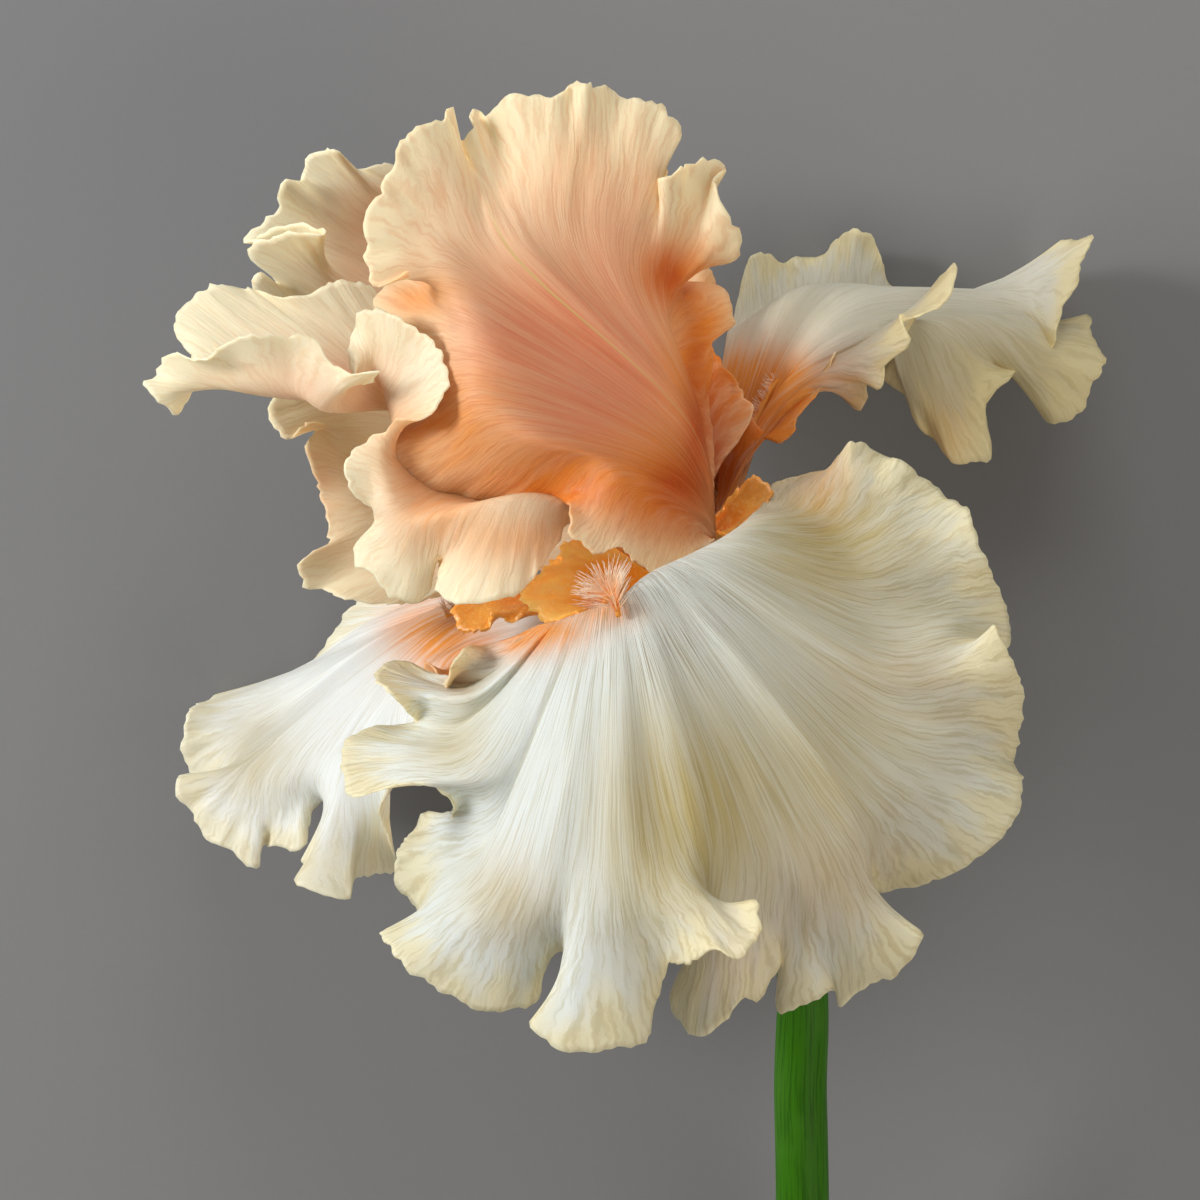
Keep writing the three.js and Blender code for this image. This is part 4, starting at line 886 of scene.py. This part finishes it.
@dataclass
class Skin(Graph):
    """A material in the making, with the places and patterns that its colours follow."""

    shader: bpy.types.Node

    def across_along(self) -> tuple[Socket, Socket]:
        """The piece's own map: how far across it, and the share of the way along it."""
        place = self.add("ShaderNodeSeparateXYZ", {0: self.add("ShaderNodeUVMap", uv_map="petal").outputs[0]})
        return place.outputs[0], place.outputs[1]

    def place(self) -> Socket:
        """The place in the flower, in metres."""
        return self.add("ShaderNodeTexCoord").outputs["Object"]

    def mask(self, name: str) -> Socket:
        """A value that the mesh keeps at its points."""
        return self.add("ShaderNodeAttribute", attribute_name=name).outputs["Fac"]

    def veins(self, **values: float) -> tuple[Socket, ...]:
        """Veins along the piece's map.

        Args:
            values: for the group's inputs, named in small letters with underscores.

        Returns:
            The fine lines, the broad streaks and the height.
        """
        across, along = self.across_along()
        given = {name.replace("_", " ").capitalize(): value for name, value in values.items()}
        given |= {"Across": across, "Along": along}
        return tuple(self.add("ShaderNodeGroup", given, node_tree=vein_lines()).outputs)

    def cells(self, per_m: float) -> tuple[Socket, ...]:
        """Domed cells, so many to a metre: their height, and a value of its own for each."""
        given = {"Place": self.place(), "Cells per m": per_m}
        return tuple(self.add("ShaderNodeGroup", given, node_tree=glisten()).outputs)


@dataclass(frozen=True)
class Finish:
    """What every finish has: its name, how it shines and how deep its relief is."""

    name: str
    roughness: float = 0.5
    specular: float = 0.25
    translucence: float = 0.9
    depth_mm: float = 1.0
    glow: Colour = (1.0, 0.62, 0.38)
    relief_mm: float = 0.2
    relief_share: float = 0.6
    cells_per_m: float = 3000.0

    def paint(self, skin: Skin) -> Painted:
        """The colour all over the piece, and the height of its relief if it has one."""
        raise NotImplementedError

    def material(self) -> bpy.types.Material:
        """The finish as a material, made once."""
        if self.name in bpy.data.materials:
            return bpy.data.materials[self.name]
        material = bpy.data.materials.new(self.name)
        material.use_nodes = True
        shader = material.node_tree.nodes["Principled BSDF"]
        shader.subsurface_method = "BURLEY"
        skin = Skin(material.node_tree, shader)
        for socket, value in (
            ("Roughness", self.roughness),
            ("Specular IOR Level", self.specular),
            ("Subsurface Weight", self.translucence),
            ("Subsurface Radius", self.glow),
            ("Subsurface Scale", self.depth_mm * MM),
        ):
            skin.feed(shader.inputs[socket], value)
        colour, height = self.paint(skin)
        skin.feed(shader.inputs["Base Color"], colour)
        if height is not None:
            values = {"Height": height, "Distance": self.relief_mm * MM, "Strength": self.relief_share}
            skin.feed(shader.inputs["Normal"], skin.add("ShaderNodeBump", values).outputs[0])
        return material


@dataclass(frozen=True)
class PetalFinish(Finish):
    """A silky petal: its colour runs from claw to margin, with soft patches of its own colours and of painted
    shade, and fine veins.
    """

    claw: Colour = (0.75, 0.2, 0.03)
    haft: Colour = (0.88, 0.48, 0.2)
    blade: Colour = (0.75, 0.8, 0.78)
    margin: Colour = (0.8, 0.73, 0.46)
    warm: Colour = (0.84, 0.31, 0.05)
    rosy: Colour = (0.74, 0.29, 0.16)
    # the colour of the painted shade
    painted_shade: Colour = (0.52, 0.43, 0.2)
    # deep orange-red with painted shade in hollows
    ember_and_shade: Colour = (0.5, 0.07, 0.005)
    ink: Colour = (0.3, 0.24, 0.15)
    rib: Colour = (0.62, 0.5, 0.18)
    vein: Colour = (0.72, 0.66, 0.5)
    glow: Colour = (1.0, 0.8, 0.6)
    vein_share: float = 0.6
    haft_end: float = 0.2
    margin_start: float = 0.82
    margin_share: float = 0.8
    lines_per_mm: float = 3.0
    pleats: float = 1.8       # height of the short pleats in from the margin, beside that of the lines
    relief_mm: float = 0.22
    relief_share: float = 0.85

    def paint(self, skin: Skin) -> Painted:
        """The petal's colour and the height of its veins, pleats and cells."""
        fine, broad, height = skin.veins(lines_per_mm=self.lines_per_mm, pleats=self.pleats)
        dome, odd = skin.cells(self.cells_per_m)
        straight = skin.across_along()[1]
        along = skin.plus(straight, skin.centred(broad, 0.1))
        colour = skin.colours(along, (
            (0.0, self.claw),
            (self.haft_end * 0.6, self.haft),
            (self.haft_end * 1.5, self.blade),
            (1.0, self.blade),
        ))

        def patched(under: Socket, name: str, spread: float) -> Socket:
            """A colour with the patches of one kind laid over it, streaked along the veins."""
            streaked = skin.times(skin.mask(name), skin.plus(skin.times(broad, spread), 0.8))
            return skin.mix(streaked, under, getattr(self, name))

        # patches of rosy colour, then painted shade
        colour = patched(patched(colour, "rosy", 0.5), "painted_shade", 0.3)
        rim = skin.ramp(along, self.margin_start, 1.0)
        colour = skin.mix(skin.times(rim, self.margin_share), colour, self.margin)
        # patches of orange colour, then deep orange with painted shade in hollows
        colour = patched(patched(colour, "warm", 0.5), "ember_and_shade", 0.3)
        colour = skin.mix(skin.times(fine, self.vein_share), colour, self.vein, "MULTIPLY")
        near = skin.ramp(skin.math("ABSOLUTE", skin.mask("rib")), 0.2, 0.05)
        rib = skin.times(near, skin.ramp(straight, 0.85, 0.6))
        colour = skin.mix(skin.times(rib, 0.9), colour, self.rib)
        colour = skin.mix(skin.times(skin.mask("ink"), skin.ramp(fine, 0.25, 0.9)), colour, self.ink)
        shine = skin.plus(skin.times(odd, 0.18), self.roughness - 0.09)
        skin.feed(skin.shader.inputs["Roughness"], shine)
        return colour, skin.plus(height, skin.times(dome, 0.08))


@dataclass(frozen=True)
class CrestFinish(Finish):
    """A style arm: orange, wet-looking and grainy with large domed cells, with a painted glow and painted
    glints on its cells.
    """

    deep: Colour = (0.5, 0.08, 0.003)
    bright: Colour = (0.8, 0.2, 0.01)
    tip: Colour = (0.9, 0.42, 0.07)
    # colour of the painted glints
    painted_sparkle: Colour = (0.98, 0.72, 0.3)
    painted_glow: float = 0.08     # painted glow: emission standing in for light that comes through the flesh from behind
    cells_per_m: float = 2200.0

    def paint(self, skin: Skin) -> Painted:
        """The arm's colour and the height of its veins and cells."""
        _, broad, height = skin.veins(pleats=3.0)
        dome, odd = skin.cells(self.cells_per_m)
        along = skin.plus(skin.across_along()[1], skin.times(skin.noise(skin.place(), 180.0), 0.3))
        colour = skin.colours(along, ((0.1, self.deep), (0.65, self.bright), (1.0, self.tip)))
        # painted glints: a paler colour on random cells, standing in for cells that catch the light
        colour = skin.mix(skin.times(skin.ramp(odd, 0.6, 1.0), 0.3), colour, self.painted_sparkle)
        colour = skin.mix(skin.times(broad, 0.35), colour, self.deep)
        # painted glow: the arm gives off light of its own colour
        skin.feed(skin.shader.inputs["Emission Strength"], self.painted_glow)
        skin.feed(skin.shader.inputs["Emission Color"], colour)
        return colour, skin.plus(height, skin.times(dome, 0.5))


@dataclass(frozen=True)
class HairFinish(Finish):
    """A beard: orange at its back, near white at its tips."""

    root: Colour = (0.9, 0.36, 0.06)
    tip: Colour = (0.97, 0.84, 0.68)

    def paint(self, skin: Skin) -> Painted:
        """The hairs' colour."""
        uneven = skin.centred(skin.noise(skin.place(), 260.0), 0.5)
        return skin.mix(skin.plus(skin.mask("tip"), uneven), self.root, self.tip), None


@dataclass(frozen=True)
class StalkFinish(Finish):
    """A smooth green stalk with lengthwise lines under a pale waxy bloom."""

    green: Colour = (0.045, 0.19, 0.005)
    dark: Colour = (0.028, 0.125, 0.003)
    bloom: Colour = (0.2, 0.4, 0.1)
    bloom_share: float = 0.08
    lines_round: float = 60.0
    relief_mm: float = 0.12
    relief_share: float = 0.5

    def paint(self, skin: Skin) -> Painted:
        """The stalk's colour and the height of its lines."""
        fine, _, height = skin.veins(lines_per_mm=self.lines_round, wander=0.02)
        wax = skin.times(skin.ramp(skin.noise(skin.place(), 90.0, 5.0), 0.4, 0.75), self.bloom_share)
        skin.feed(skin.shader.inputs["Roughness"], skin.plus(skin.times(wax, 0.4), self.roughness))
        return skin.mix(wax, skin.mix(fine, self.green, self.dark), self.bloom), height


@dataclass(frozen=True)
class PaperFinish(Finish):
    """A dry papery bract: buff and green, with lengthwise veins and small brown flecks."""

    buff: Colour = (0.62, 0.53, 0.32)
    green: Colour = (0.32, 0.42, 0.16)
    fleck: Colour = (0.3, 0.18, 0.08)
    relief_mm: float = 0.4
    relief_share: float = 0.8

    def paint(self, skin: Skin) -> Painted:
        """The bract's colour and the height of its veins."""
        fine, _, height = skin.veins(lines_per_mm=1.2)
        dry = skin.ramp(skin.plus(skin.across_along()[1], skin.noise(skin.place(), 60.0)), 0.6, 1.2)
        colour = skin.mix(dry, self.green, self.buff)
        colour = skin.mix(skin.times(fine, 0.35), colour, self.fleck, "MULTIPLY")
        spots = skin.ramp(skin.noise(skin.place(), 700.0, 3.0), 0.66, 0.74)
        return skin.mix(skin.times(spots, 0.6), colour, self.fleck), height


@dataclass(frozen=True)
class PollenFinish(Finish):
    """A powdery pollen sac."""

    grain: Colour = (0.9, 0.82, 0.55)
    light_grain: Colour = (0.98, 0.93, 0.76)
    relief_mm: float = 0.12
    relief_share: float = 1.0
    cells_per_m: float = 6000.0

    def paint(self, skin: Skin) -> Painted:
        """The grains' colour and their height."""
        dome, odd = skin.cells(self.cells_per_m)
        return skin.mix(odd, self.grain, self.light_grain), dome


@dataclass(frozen=True)
class FloorFinish(Finish):
    """Matt pale grey paper."""

    tone: Colour = (0.255, 0.255, 0.259)

    def paint(self, skin: Skin) -> Painted:
        """The paper's slightly uneven grey."""
        darker = tuple(0.96 * part for part in self.tone)
        return skin.mix(skin.noise(skin.place(), 900.0), self.tone, darker), None


# ---------------------------------------------------------------- the flower
def show(mesh: bpy.types.Mesh, node: str, finish: Finish) -> bpy.types.Object:
    """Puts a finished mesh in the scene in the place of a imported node.

    Args:
        mesh: in metres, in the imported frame.
        node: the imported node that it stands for.
        finish: what it is made of.

    Returns:
        The object.
    """
    piece = bpy.data.objects.new(mesh.name, mesh)
    bpy.context.scene.collection.objects.link(piece)
    mesh.materials.append(finish.material())
    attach(piece, "root")
    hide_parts(node)
    LOG.info("%s: %d faces for %s", piece.name, len(mesh.polygons), node)
    return piece


@dataclass
class Perianth:
    """The six petals: three falls that hang and three standards that stand over the throat."""

    thickness: float = 0.28
    claw_thickness: float = 0.8
    spacing: float = 0.8
    rows: int = 52
    crowding: float = 0.85    # below 1, rows stand closer together towards the margin
    fall_ruffle: Ruffle = Ruffle(crimp=0.42, crimp_length=2.4, flute=0.3, notch=0.4, start=0.75)
    standard_ruffle: Ruffle = Ruffle(crimp=0.55, crimp_length=2.3, flute=0.35, flute_length=6.0, notch=0.55)

    def masks(self, plan: Blade, points: np.ndarray, stations: np.ndarray) -> dict[str, np.ndarray]:
        """How strong each of the plan's patches is at the points, and how far they are from its midrib."""
        x, y = points[..., 0] - THROAT_X, points[..., 1] - THROAT_Y
        masks = {
            kind: np.clip(1 - np.prod([1 - tint.over(x, y) for tint in getattr(plan, kind)], axis=0), 0, 1)
            for kind in PATCHES if getattr(plan, kind)
        }
        masks["rib"] = np.broadcast_to((stations - plan.midrib)[None], x.shape)
        return masks

    def petal(self, node: str, plan: Blade, finish: PetalFinish, seed: int) -> None:
        """Builds and dresses one petal.

        Args:
            node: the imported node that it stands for.
            plan: its form.
            finish: its skin.
            seed: for its margin.
        """
        is_fall = node.startswith("fall")
        along = np.linspace(0, 1, self.rows) ** self.crowding
        stations = plan.even_stations(self.spacing, CLAW_RADIUS)
        points = plan.surface(stations, along, CLAW_RADIUS)
        sheet = Sheet(points, along, self.claw_thickness, self.thickness)
        sheet = sheet.ruffled(self.fall_ruffle if is_fall else self.standard_ruffle, seed)
        mesh = sheet.mesh(f"{node}_petal", self.masks(plan, points, stations))
        show(mesh, node, finish)

    def build(self) -> None:
        """Builds all six petals."""
        fall = PetalFinish("fall_silk")
        # painted light: a whiter copy of the fall silk for the fall that the light falls full on
        left = replace(
            fall, name="lit_left_fall_silk", claw=(0.75, 0.22, 0.04), haft=(0.88, 0.46, 0.18),
            blade=(0.9, 0.95, 0.95), margin=(0.82, 0.76, 0.52), vein_share=0.4,
        )
        # painted shade: a duller, beige copy of the fall silk for the fall that lies in shade
        right = replace(
            fall, name="shaded_right_fall_silk", claw=(0.7, 0.2, 0.03), haft=(0.88, 0.42, 0.15),
            blade=(0.72, 0.71, 0.62), margin=(0.78, 0.68, 0.38), vein_share=0.4,
        )
        # the standards' painted shade is a dull yellow-brown
        rosy = PetalFinish(
            "standard_silk", glow=(1.0, 0.75, 0.5), claw=(0.65, 0.14, 0.02), haft=(0.8, 0.3, 0.1),
            blade=(0.78, 0.53, 0.33), margin=(0.85, 0.77, 0.52), painted_shade=(0.6, 0.5, 0.27), haft_end=0.25,
            margin_start=0.66, margin_share=0.95, vein=(0.85, 0.6, 0.48), vein_share=0.45,
        )
        lemon = replace(
            rosy, name="left_standard_silk", claw=(0.75, 0.25, 0.05), haft=(0.84, 0.48, 0.22),
            blade=(0.84, 0.71, 0.5), margin=(0.86, 0.82, 0.6), haft_end=0.3,
            vein=(0.88, 0.72, 0.58), vein_share=0.4,
        )
        self.petal("fall_front", FRONT_FALL, fall, 11)
        self.petal("fall_left", LEFT_FALL, left, 23)
        self.petal("fall_right", RIGHT_FALL, right, 37)
        self.petal("standard_front", FRONT_STANDARD, rosy, 41)
        self.petal("standard_left", LEFT_STANDARD, lemon, 59)
        self.petal("standard_back", BACK_STANDARD, lemon, 67)


@dataclass
class Beard:
    """A strip of hairs that fan out of a slim core on a fall."""

    plan: Blade
    column: float             # share of the way across the fall
    low: float                # shares of the way along it where the beard starts and ends
    high: float
    reach: float              # the longest hairs
    core_radius: float = 0.9
    core_end: float = 0.5     # its radius where it ends
    lift: float = 1.7         # of the core's middle line over the fall's
    hairs: int = 320
    hair_radius: float = 0.11
    fan: float = 1.5          # the widest sideways lean, beside a rise of 1
    stray: float = 0.12       # random lean
    droop: float = 0.16       # how far a tip bends over, as a share of the hair's length
    taper: float = 0.75       # how much thinner the tip is
    rings: int = 5
    hair_sides: int = 4

    def ridge(self, share: np.ndarray) -> tuple[np.ndarray, np.ndarray]:
        """Places over the fall's upper face along the beard.

        Args:
            share: shares of the beard to give places for.

        Returns:
            The places, and the directions away from the petal there.
        """
        station = round(self.column * (len(self.plan.veins) - 1))
        stations = np.array([station - 1.0, station, station + 1.0])
        along = self.low + (self.high - self.low) * share
        points = self.plan.surface(stations, np.concatenate((along, along + 0.01)), CLAW_RADIUS)
        here, further = np.split(points, 2)
        up = -self.plan.turn * unit(np.cross(here[:, 2] - here[:, 0], further[:, 1] - here[:, 1]))
        return here[:, 1] + up * self.lift, up

    def hair_tubes(self, forward: np.ndarray, seed: int) -> tuple[np.ndarray, np.ndarray, np.ndarray]:
        """All the hairs as thin tapered tubes.

        Args:
            forward: the way that the beard runs, away from the throat.
            seed: for their places, lengths and leans.

        Returns:
            Points in millimetres, faces, and how pale each point is.
        """
        draw = np.random.default_rng(seed)
        share = draw.uniform(0, 1, self.hairs)
        place, up = self.ridge(share)
        side = np.cross(np.broadcast_to(forward, up.shape), up)
        fan = draw.uniform(-self.fan, self.fan, (self.hairs, 1))
        lean = draw.normal(0, self.stray, (self.hairs, 3))
        aim = unit(up + side * fan + forward * (0.5 - 0.5 * share)[:, None] + lean)
        length = self.reach * draw.uniform(0.6, 1.0, (self.hairs, 1)) * (1 - 0.12 * np.abs(fan))
        bend = unit(side * fan + forward * 0.4) * length * self.droop
        t = np.linspace(0, 1, self.rings)[:, None, None]
        middle = place[None] + aim[None] * length[None] * t + bend[None] * t * t
        turn = (np.arange(self.hair_sides) * 2 * math.pi / self.hair_sides)[None, :, None]
        across = unit(np.cross(aim, np.array([0.3, 0.5, 0.8])))
        other = np.cross(aim, across)
        radius = self.hair_radius * (1 - self.taper * t[..., None] ** 1.5)
        round_it = across[:, None] * np.cos(turn) + other[:, None] * np.sin(turn)
        points = middle[:, :, None] + radius * round_it[None]
        index = np.arange(points[..., 0].size).reshape(points.shape[:3])
        faces = np.concatenate((walls(index), index[0][:, ::-1], index[-1]))
        pale = np.broadcast_to(t**0.6 * (0.45 + 0.55 * share[:, None]), points.shape[:3])
        return points.reshape(-1, 3), faces, pale.reshape(-1)

    def build(self, node: str, seed: int) -> None:
        """Builds the beard: its hairs and the core they stand on."""
        line, _ = self.ridge(np.linspace(0, 1, 12))
        points, faces, pale = self.hair_tubes(unit(line[-1] - line[0]), seed)
        radii = ((0, self.core_end), (0.5, self.core_radius), (1, self.core_end))
        core, core_faces, _ = Stem(Spine(line), radii, sides=10, steps=16).grid()
        every = np.concatenate((points, core))
        mask = {"tip": np.concatenate((pale, np.zeros(len(core))))}
        mesh = new_mesh(f"{node}_hairs", every, np.concatenate((faces, core_faces + len(points))), None, mask)
        fur = HairFinish(f"{node}_fur", roughness=0.55, translucence=0.4, depth_mm=0.6)
        show(mesh, node, fur)


@dataclass
class Throat:
    """What stands on the tube's rim inside the petals: style arms, beards and anthers."""

    arm_thickness: float = 0.6
    arm_root: float = 0.9     # thickness at the arm's foot
    arm_rows: int = 30
    arm_spacing: float = 0.4
    fringe: Ruffle = Ruffle(
        crimp=0.4, crimp_length=1.3, flute=0.6, flute_length=3.2, notch=0.6, notch_length=0.8,
    )
    anther_radii: Stops = ((0, 0.35), (0.5, 0.3), (0.62, 0.6), (1, 0.35))
    anther_rows: tuple = (0.6, 1.2, 1.8)    # of the arm's rows that a stamen passes under

    def arm(self, node: str, plan: Blade, finish: CrestFinish, seed: int) -> None:
        """Builds one style arm with its fringed crest."""
        along = np.linspace(0, 1, self.arm_rows)
        points = plan.surface(plan.even_stations(self.arm_spacing, ARM_RADIUS), along, ARM_RADIUS)
        sheet = Sheet(points, along, self.arm_root, self.arm_thickness).ruffled(self.fringe, seed)
        show(sheet.mesh(f"{node}_crest", {}), node, finish)

    def anther(self, node: str, fall: Blade, arm: Blade, finish: PollenFinish) -> None:
        """Builds one stamen half way between a fall and its style arm."""
        shelf = fall.surface(np.arange(len(fall.veins)), np.linspace(0, 1, 7), CLAW_RADIUS).reshape(-1, 3)
        strap = arm.surface(np.arange(len(arm.veins)), np.linspace(0, 1, 6), ARM_RADIUS)
        middle = strap[:, len(arm.veins) // 2]
        over = [middle[int(r)] + (middle[int(r) + 1] - middle[int(r)]) * (r % 1) for r in self.anther_rows]
        path = [on_rim(ANTHER_RADIUS, fall.claw, 2 * CLEARANCE)]
        path += [(p + shelf[np.argmin(np.linalg.norm(shelf - p, axis=1))]) / 2 for p in over]
        stamen = Stem(Spine(np.array(path)), self.anther_radii, sides=12, steps=30, lobes=2, ridge=0.12)
        show(stamen.mesh(f"{node}_stamen"), node, finish)

    def build(self) -> None:
        """Builds all that stands in the throat."""
        crest = CrestFinish("crest_flesh", roughness=0.3, specular=0.5, depth_mm=1.2)
        # painted light: a brighter copy of the crest flesh, with more painted glow, for the front arm, which
        # sits in the shade of the front standard
        bright = CrestFinish(
            "lit_crest_flesh", roughness=0.25, specular=0.6, depth_mm=1.2, painted_glow=0.25,
            deep=(0.95, 0.22, 0.01), bright=(0.98, 0.38, 0.03), tip=(1.0, 0.62, 0.14),
        )
        pollen = PollenFinish("pollen_sac", roughness=0.8, translucence=0.2)
        self.arm("style_arm_front", FRONT_ARM, bright, 71)
        self.arm("style_arm_left", LEFT_ARM, crest, 73)
        self.arm("style_arm_right", RIGHT_ARM, crest, 79)
        Beard(FRONT_FALL, column=0.46, low=0.16, high=0.42, reach=7.0).build("beard_front", 83)
        Beard(LEFT_FALL, column=0.5, low=0.15, high=0.4, reach=4.5).build("beard_left", 89)
        Beard(RIGHT_FALL, column=0.65, low=0.15, high=0.38, reach=2.6).build("beard_right", 97)
        self.anther("anther_front", FRONT_FALL, FRONT_ARM, pollen)
        self.anther("anther_left", LEFT_FALL, LEFT_ARM, pollen)
        self.anther("anther_right", RIGHT_FALL, RIGHT_ARM, pollen)


@dataclass
class Stalk:
    """The flower's tube, its ovary, the stem down to its cut end, and the two bracts round them."""

    # middle lines from the throat down, and the bracts' from their feet up, as seen from the eye
    tube_line: tuple = ((-2, -9, 0), (0.5, -16, -1), (5.5, -30, -3))
    ovary_line: tuple = ((5.8, -30.8, -3.1), (9, -40, -5), (12.5, -49, -8))
    stem_line: tuple = ((12.9, -50, -8.3), (17.6, -62, -13), (18.8, -92, -27), (18.8, -157, -57.33))
    outer_line: tuple = ((17.8, -64, -14), (13, -50, -8.6), (7, -36, -4.2), (3, -26, -2.6))
    inner_line: tuple = ((16.4, -60, -12), (12, -48, -7.6), (6.6, -34, -3.8), (1.5, -21, -1.6))
    tube_radii: Stops = ((0, 5.9), (0.35, 4.2), (0.8, 3.3), (1, 3.6))
    ovary_radii: Stops = ((0, 3.4), (0.45, 5.4), (1, 3.5))
    stem_radii: Stops = ((0, 3.3), (0.14, 4.3), (0.3, STEM_RADIUS), (1, STEM_RADIUS + 0.33))
    outer_radii: Stops = ((0, 5.2), (0.12, 6.4), (0.4, 8.3), (0.75, 9), (1, 9.4))
    inner_radii: Stops = ((0, 5), (0.3, 6.3), (0.7, 6.9), (1, 7.3))
    outer_wraps: Stops = ((0, 150), (0.5, 120), (0.8, 62), (1, 6))
    inner_wraps: Stops = ((0, 110), (0.5, 95), (0.8, 50), (1, 6))
    bract_thickness: float = 0.5
    bract_rows: int = 50
    bract_columns: int = 70
    bract_ruffle: Ruffle = Ruffle(crimp=0.15, crimp_length=2.0, flute=0.2, flute_length=9.0, notch=0.1)

    def bract(self, node: str, line: tuple, radii: Stops, wraps: Stops, facing: float, seed: int) -> None:
        """Builds one papery bract wrapped round the stalk.

        Args:
            node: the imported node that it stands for.
            line: the middle line that it is wrapped round.
            radii: how wide it is along the line.
            wraps: the degrees that it reaches round to each side.
            facing: degrees round the line where its own middle is.
            seed: for its margin.
        """
        along = np.linspace(0, 1, self.bract_rows)
        reach = np.radians(profile(wraps, along))[:, None]
        angle = math.radians(facing) + np.linspace(-1, 1, self.bract_columns)[None] * reach
        points = Spine(seen(line)).wrapped(profile(radii, along)[:, None], angle)
        sheet = Sheet(points, along, self.bract_thickness, self.bract_thickness)
        finish = PaperFinish(f"{node}_paper", roughness=0.7, translucence=0.35, depth_mm=0.8)
        show(sheet.ruffled(self.bract_ruffle, seed).mesh(f"{node}_bract", {}), node, finish)

    def build(self) -> None:
        """Builds the stalk from the tube down."""
        green = StalkFinish(
            "stem_skin", roughness=0.4, specular=0.12, translucence=0.05, glow=(0.4, 1.0, 0.2),
        )
        young = StalkFinish(
            "ovary_skin", roughness=0.45, translucence=0.2, glow=(0.5, 1.0, 0.3),
            green=(0.22, 0.38, 0.1), dark=(0.14, 0.3, 0.07), lines_round=40.0,
        )
        tube = Stem(Spine(seen(self.tube_line)), self.tube_radii, sides=32, steps=30)
        ovary = Stem(Spine(seen(self.ovary_line)), self.ovary_radii, sides=48, steps=40, lobes=3, ridge=0.06)
        stem = Stem(Spine(seen(self.stem_line)), self.stem_radii, sides=48, steps=90)
        show(tube.mesh("perianth_tube_skin"), "perianth_tube", young)
        show(ovary.mesh("ovary_skin"), "ovary", young)
        show(stem.mesh("stem_skin"), "stem", green)
        self.bract("spathe_outer", self.outer_line, self.outer_radii, self.outer_wraps, 90, 101)
        self.bract("spathe_inner", self.inner_line, self.inner_radii, self.inner_wraps, 270, 103)


@dataclass
class Studio:
    """The pale floor, the soft lights and the camera."""

    floor_width_m: float = 4.0
    sky: tuple = (0.97, 0.97, 1.0, 1.0)
    sky_strength: float = 0.2

    def floor(self) -> None:
        """Lays the floor under the flower."""
        half = self.floor_width_m / 2 / MM
        corners = np.array([[-half, -half, 0], [half, -half, 0], [half, half, 0], [-half, half, 0]], float)
        mesh = new_mesh("floor", corners, np.array([[0, 1, 2, 3]]))
        paper = FloorFinish("floor_paper", roughness=0.9, specular=0.2, translucence=0.0)
        mesh.materials.append(paper.material())
        piece = bpy.data.objects.new("floor", mesh)
        bpy.context.scene.collection.objects.link(piece)

    def light(self, name: str, place: tuple, width: float, power: float, colour: Colour) -> None:
        """Hangs one soft square light that faces the throat.

        Args:
            name: of the light.
            place: in metres.
            width: of its square, in metres.
            power: in watts.
            colour: of its light.
        """
        lamp = bpy.data.lights.new(name, "AREA")
        lamp.shape = "SQUARE"
        lamp.size = width
        lamp.energy = power
        lamp.color = colour
        piece = bpy.data.objects.new(name, lamp)
        piece.location = place
        aim = np.array([THROAT_X, THROAT_Y, THROAT_HEIGHT]) * MM - np.array(place)
        piece.rotation_mode = "QUATERNION"
        piece.rotation_quaternion = Vector(aim).to_track_quat("-Z", "Y")
        bpy.context.scene.collection.objects.link(piece)

    def camera(self) -> None:
        """Sets the camera straight above the throat, as far off as the eye was."""
        lens = bpy.data.cameras.new("camera")
        lens.sensor_width = SENSOR
        lens.lens = SENSOR * EYE_AWAY / PICTURE_WIDTH
        piece = bpy.data.objects.new("camera", lens)
        height = THROAT_HEIGHT + EYE_PLANE + EYE_AWAY
        piece.location = ((EYE_X + THROAT_X) * MM, (EYE_Y + THROAT_Y) * MM, height * MM)
        bpy.context.scene.collection.objects.link(piece)
        bpy.context.scene.camera = piece

    def build(self) -> None:
        """Sets up the floor, lights and camera."""
        self.camera()
        self.floor()
        self.light("key", (-1.2, 0.4, 0.67), 0.45, 15.5, (1.0, 1.0, 1.0))
        self.light("top", (0.1, 0.9, 0.5), 0.6, 3.5, (1.0, 1.0, 0.98))
        self.light("fill", (0.7, -0.5, 0.7), 1.0, 4.2, (1.0, 0.9, 0.76))
        world = bpy.data.worlds.new("studio")
        world.use_nodes = True
        background = world.node_tree.nodes["Background"]
        background.inputs["Color"].default_value = self.sky
        background.inputs["Strength"].default_value = self.sky_strength
        bpy.context.scene.world = world
        bpy.context.scene.view_settings.view_transform = "Standard"


def main() -> None:
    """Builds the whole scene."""
    logging.basicConfig(level=logging.INFO, format="%(name)s: %(message)s")
    Studio().build()
    Perianth().build()
    Throat().build()
    Stalk().build()


if __name__ == "__main__":
    main()
